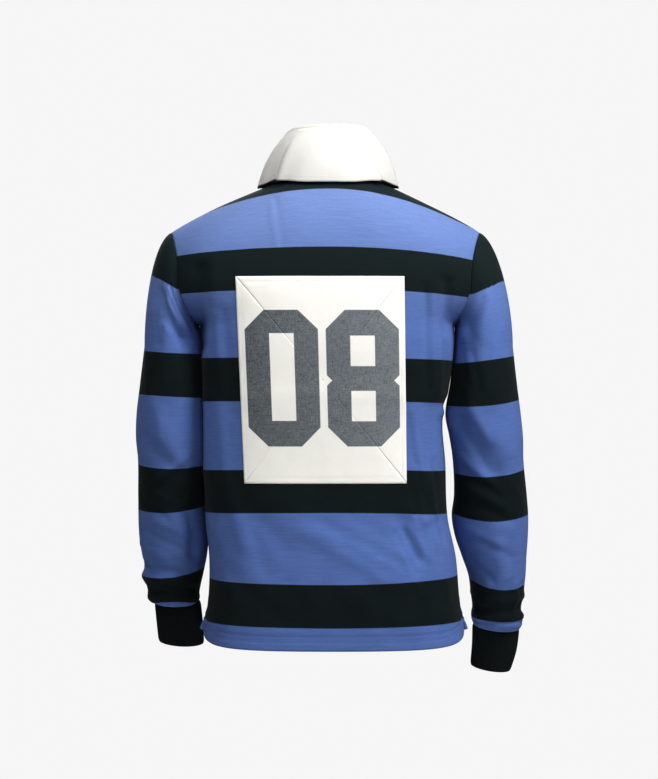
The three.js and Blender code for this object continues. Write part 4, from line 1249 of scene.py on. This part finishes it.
COLLAR_END = math.pi - SLIT_SHARE / NECK_SHARE * math.pi / 2
collar_angles = np.linspace(-COLLAR_END, COLLAR_END, 240)
stand_t, stand_a = np.meshgrid(np.linspace(0.008, STAND_SHARE, 16), collar_angles, indexing="ij")
stand_points = along_stand(stand_a, stand_t)
stand_map = np.stack([stand_a * 0.062, stand_t * 0.07], axis=-1)
collar_stand = cloth_piece(
    "collar_stand", stand_points, stand_map, TWILL, TWILL_FINISH, "collar_twill", outward=-1.0
)


def fall_point(a, t):
    """Up from the stand, half a turn over the fold, and down outside on a curve that bulges a little."""
    rise = along_stand(a, blend(STAND_SHARE + 0.009, 1, np.clip(t / FALL_RISEN, 0, 1)))
    top = fold_line(a)
    out = away_from_neck(a)
    turn = np.clip((t - FALL_RISEN) / (FALL_TURNED - FALL_RISEN), 0, 1)[..., None] * math.pi
    over = top + out * FOLD_RADIUS * (1 - np.cos(turn)) + np.array([0, 0, FOLD_RADIUS]) * np.sin(turn)
    share = np.clip((t - FALL_TURNED) / (1 - FALL_TURNED), 0, 1)[..., None]
    start = top + out * 2 * FOLD_RADIUS
    end = fall_edge(a)
    control = blend(start, end, 0.4) + out * FALL_BULGE + np.array([0, 0, FALL_RISE])
    down = start * (1 - share) ** 2 + control * 2 * share * (1 - share) + end * share**2
    level = t[..., None]
    return np.where(level < FALL_RISEN, rise, np.where(level < FALL_TURNED, over, down))


fall_levels = np.concatenate(
    [
        np.linspace(0, FALL_RISEN, 8, endpoint=False),
        np.linspace(FALL_RISEN, FALL_TURNED, 12, endpoint=False),
        np.linspace(FALL_TURNED, 1, 40),
    ]
)
fall_t, fall_a = np.meshgrid(fall_levels, collar_angles, indexing="ij")
fall_points = fall_point(fall_a, fall_t)
fall_map = np.stack([fall_a * 0.075, fall_t * 0.1], axis=-1)
collar_fall = cloth_piece(
    "collar_fall", fall_points, fall_map, TWILL, TWILL_FINISH, "collar_twill", outward=-1.0
)

def place_on_back(x, z):
    """The panel's own coordinates of the places at a distance from the middle and a height, by Newton's
    steps."""
    u = x / 200.0
    below = 1 + (z - UNDERARM) / (UNDERARM - VENT_TOP) * (1 - VENT_SHARE)
    h = np.where(z < UNDERARM, below, 1 + (z - UNDERARM) / (BACK["blade"] - UNDERARM))
    step = 1e-4
    for _ in range(14):
        here = panel_form(BACK, u, h)
        by_u = (panel_form(BACK, u + step, h) - here) / step
        by_h = (panel_form(BACK, u, h + step) - here) / step
        miss_x, miss_z = x - here[..., 0], z - here[..., 2]
        area = by_u[..., 0] * by_h[..., 2] - by_h[..., 0] * by_u[..., 2]
        u = u + (miss_x * by_h[..., 2] - miss_z * by_h[..., 0]) / area
        h = h + (miss_z * by_u[..., 0] - miss_x * by_u[..., 2]) / area
    return u, h


def patch_place(p, q, lift):
    """A place on the patch: p is 0 to 1 from its right to its left, and q from its bottom to its top."""
    left = blend(PATCH_LOW_LEFT, PATCH_LEFT, q)
    right = blend(PATCH_LOW_RIGHT, PATCH_RIGHT, q)
    u, h = place_on_back(blend(right, left, p), blend(PATCH_BOTTOM, PATCH_TOP, q))
    return panel_point(BACK, u, h, lift)


def patch_quarter(name, start, end):
    """A triangle of the patch from its middle out to one edge, its sides turned down along the diagonals."""
    k, share = np.meshgrid(np.linspace(0.002, 1, 66), np.linspace(0, 1, 72), indexing="ij")
    p = 0.5 + (blend(start[0], end[0], share) - 0.5) * k
    q = 0.5 + (blend(start[1], end[1], share) - 0.5) * k
    from_seam = np.minimum(share, 1 - share) * k * 250
    from_edge = (1 - k) * 125
    lift = PATCH_LIFT - 0.2 * np.exp(-((from_seam / 1.6) ** 2)) - 0.45 * np.exp(-((from_edge / 1.6) ** 2))
    lift = lift - 0.35 * np.exp(-(((from_edge - 6.5) / 1.8) ** 2))
    points = patch_place(p, q, lift)
    flat_map = np.stack([(1 - p) * PATCH_WIDTH, q * PATCH_HEIGHT], axis=-1)
    facing = np.cross(points[-1, -1] - points[0, 0], points[-1, 0] - points[0, 0])[1]
    outward = 1.0 if facing > 0 else -1.0
    return cloth_piece(name, points, flat_map, PATCH_CLOTH, PATCH_FINISH, "patch_twill", outward=outward)


patch_top = patch_quarter("patch_top", (0, 1), (1, 1))
patch_left = patch_quarter("patch_left", (1, 1), (1, 0))
patch_bottom = patch_quarter("patch_bottom", (1, 0), (0, 0))
patch_right = patch_quarter("patch_right", (0, 0), (0, 1))

def placket(name, lift, share, bottom):
    """A strip down the front over or under the slit."""
    h, u = np.meshgrid(np.linspace(bottom, 2.985, 80), np.linspace(-share, share, 24), indexing="ij")
    points = panel_point(FRONT, u, h, lift)
    flat_map = np.stack([u * PANEL_ARC * 0.001, points[..., 2] * 0.001], axis=-1)
    return cloth_piece(name, points, flat_map, PLACKET_CLOTH, TWILL_FINISH, "collar_twill", outward=1.0)


placket_over = placket("placket_over", PLACKET_CLOTH + SEAM_GAP + 0.3, PLACKET_SHARE, SLIT_LEVEL - 0.045)
placket_under = placket("placket_under", -JERSEY - SEAM_GAP - 0.3, PLACKET_SHARE * 0.8, SLIT_LEVEL - 0.03)

for number in (1, 2, 3):
    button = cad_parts[f"button_{number}"]
    button.data.materials.clear()
    button.data.materials.append(RUBBER_FINISH)

def stitches(name, lines, material, pitch=3.3, length=2.3, radius=0.32):
    """Short rounded threads end to end along lines of points with their normals: each is a thin spindle of
    five rings, carried to its place on the line and laid along it."""
    reach = np.array([-0.5, -0.36, 0.0, 0.36, 0.5]) * length
    size = np.array([0.05, 0.8, 1.0, 0.8, 0.05]) * radius
    around = np.linspace(0, 2 * math.pi, STITCH_SIDES, endpoint=False)
    along = np.repeat(reach, STITCH_SIDES)
    side = (size[:, None] * np.cos(around)).ravel()
    lift = (size[:, None] * np.sin(around)).ravel()
    centres, ways, ups = [], [], []
    for points, normals in lines:
        run = np.concatenate([[0], np.cumsum(np.linalg.norm(np.diff(points, axis=0), axis=1))])
        stops = np.arange(pitch / 2, run[-1], pitch)
        centre = np.stack([np.interp(stops, run, points[:, k]) for k in range(3)], axis=1)
        ahead = np.stack([np.interp(stops + 0.5, run, points[:, k]) for k in range(3)], axis=1)
        behind = np.stack([np.interp(stops - 0.5, run, points[:, k]) for k in range(3)], axis=1)
        centres.append(centre)
        ways.append(unit(ahead - behind))
        ups.append(unit(np.stack([np.interp(stops, run, normals[:, k]) for k in range(3)], axis=1)))
    centre, way, up = np.concatenate(centres), np.concatenate(ways), np.concatenate(ups)
    across = unit(np.cross(way, up))
    up = np.cross(across, way)
    spots = centre[:, None] + way[:, None] * along[:, None]
    spots = spots + across[:, None] * side[:, None] + up[:, None] * lift[:, None]
    ring, turn = np.meshgrid(np.arange(4), np.arange(STITCH_SIDES), indexing="ij")
    ring, turn = ring.ravel(), turn.ravel()
    following = (turn + 1) % STITCH_SIDES
    here, there = ring * STITCH_SIDES, (ring + 1) * STITCH_SIDES
    quads = np.stack([here + turn, here + following, there + following, there + turn], axis=1)
    ends = np.array([[3, 2, 1, 0], [5, 4, 3, 0], [24, 25, 26, 27], [24, 27, 28, 29]])
    quads = np.concatenate([quads, ends])
    faces = (quads[None] + (np.arange(len(centre)) * 5 * STITCH_SIDES)[:, None, None]).reshape(-1, 4)
    made = mesh_object(name, spots.reshape(-1, 3), faces)
    return finish_piece(made, material)


def hem_line(side):
    """Along the hem's turning, and up both sides of the vents."""
    u = np.linspace(-0.975, 0.975, 400)
    lines = []
    for above in (HEM_DEPTH, HEM_SECOND_ROW):
        h = VENT_SHARE * above / (VENT_TOP - hem_height(side, u))
        lines.append((panel_point(side, u, h, 0.15), panel_normal(side, u, h)))
    for edge in (-0.975, 0.975):
        h = np.linspace(0.01, VENT_SHARE * 1.25, 60)
        u = np.full_like(h, edge)
        lines.append((panel_point(side, u, h, 0.15), panel_normal(side, u, h)))
    return lines


hem_stitches = stitches("hem_stitches", hem_line(BACK) + hem_line(FRONT), BLUE_THREAD)


def grid_line(points, outward, row=None, column=None, lift=0.0):
    """One row or column of a grid as a line with its normals, lifted off the grid."""
    normals = grid_normals(points, False, outward)
    pick = (row, slice(None)) if row is not None else (slice(None), column)
    return points[pick] + normals[pick] * lift, normals[pick]


fall_face = fall_points - grid_normals(fall_points, False, -1.0) * TWILL
fall_lines = [
    grid_line(fall_face, 1.0, row=len(fall_levels) - 4, lift=0.1),
    grid_line(fall_face, 1.0, row=24, lift=0.1),
]
collar_stitches = stitches(
    "collar_stitches", fall_lines, WHITE_THREAD, pitch=2.9, length=2.1
)


def patch_line(p, q):
    """A line of places on the patch with their normals."""
    points = patch_place(p, q, PATCH_LIFT - 0.2)
    u, h = place_on_back(points[..., 0], points[..., 2])
    return points, panel_normal(BACK, u, h)


inset = 0.026
run = np.linspace(inset, 1 - inset, 120)
low = np.full_like(run, inset)
patch_stitches = stitches(
    "patch_stitches",
    [
        patch_line(run, low * 0.8),
        patch_line(run, 1 - low * 0.8),
        patch_line(low, run),
        patch_line(1 - low, run),
    ],
    WHITE_THREAD,
    pitch=2.9,
    length=2.1,
    radius=0.26,
)

# A pale floor well below the shirt, and a pale surround that gives no light of its own
floor_round = np.linspace(0, 2 * math.pi, ROUND_STEPS, endpoint=False)
floor_points = points_of(FLOOR_RADIUS * np.cos(floor_round), FLOOR_RADIUS * np.sin(floor_round), FLOOR_HEIGHT)
floor = mesh_object("floor", floor_points, np.arange(ROUND_STEPS)[None])
floor_finish = Finish("pale_floor", 0.8)
floor_finish.shader.inputs["Base Color"].default_value = (0.82, 0.82, 0.82, 1)
floor.data.materials.append(floor_finish.material)

turn, rise = np.meshgrid(floor_round, np.linspace(-1.5, 1.5, RISE_STEPS + 1))
dome_points = SURROUND_RADIUS * points_of(
    np.cos(turn) * np.cos(rise), np.sin(turn) * np.cos(rise), np.sin(rise)
)
ring, spoke = np.meshgrid(np.arange(RISE_STEPS), np.arange(ROUND_STEPS), indexing="ij")
here = (ring * ROUND_STEPS + spoke).ravel()
beside = (ring * ROUND_STEPS + (spoke + 1) % ROUND_STEPS).ravel()
dome_quads = np.stack([here, here + ROUND_STEPS, beside + ROUND_STEPS, beside], axis=1)
surround = mesh_object("surround", dome_points.reshape(-1, 3), dome_quads)
surround_finish = Finish("pale_surround", 1.0)
surround_finish.shader.inputs["Base Color"].default_value = (0, 0, 0, 1)
surround_finish.shader.inputs["Emission Color"].default_value = (0.933, 0.933, 0.933, 1)
surround_finish.shader.inputs["Emission Strength"].default_value = 1.0
surround_finish.shader.inputs["Specular IOR Level"].default_value = 0.0
surround.data.materials.append(surround_finish.material)
surround.visible_diffuse = False
surround.visible_glossy = False
surround.visible_shadow = False

world = bpy.data.worlds.new("studio")
world.use_nodes = True
world.node_tree.nodes["Background"].inputs["Color"].default_value = (0.95, 0.97, 1.0, 1)
world.node_tree.nodes["Background"].inputs["Strength"].default_value = 0.06
bpy.context.scene.world = world


def soft_light(name, place, target, size, power):
    """A square soft light at a place, turned to its target."""
    data = bpy.data.lights.new(name, "AREA")
    data.shape = "SQUARE"
    data.size = size
    data.energy = power
    made = bpy.data.objects.new(name, data)
    bpy.context.scene.collection.objects.link(made)
    made.location = place
    way = np.array(target, dtype=float) - np.array(place, dtype=float)
    flat = math.hypot(way[0], way[1])
    made.rotation_euler = (math.atan2(flat, -way[2]), 0.0, math.atan2(way[1], way[0]) - math.pi / 2)
    return made


soft_light("top_light", (-1.0, 1.0, 1.2), (0.0, 0.0, -0.25), 0.8, 44)
soft_light("right_light", (-1.6, 1.3, 0.6), (0.0, 0.0, -0.25), 0.9, 14)
soft_light("fill_light", (0.0, 2.7, 1.3), (0.0, 0.0, -0.25), 1.6, 27)
soft_light("left_light", (0.75, 0.5, 0.75), (0.15, 0.0, -0.12), 0.6, 7.5)
soft_light("front_light", (0.6, -3.0, 1.2), (0.0, 0.0, -0.3), 2.0, 90)

camera_data = bpy.data.cameras.new("camera")
camera_data.lens = CAMERA_LENS
camera_data.sensor_width = CAMERA_SENSOR
camera = bpy.data.objects.new("camera", camera_data)
bpy.context.scene.collection.objects.link(camera)
camera.location = (0.0, CAMERA_DISTANCE, CAMERA_HEIGHT)
camera.rotation_euler = (math.pi / 2, 0.0, math.pi)
bpy.context.scene.camera = camera
bpy.context.scene.view_settings.view_transform = "Standard"
bpy.context.scene.view_settings.gamma = 0.85
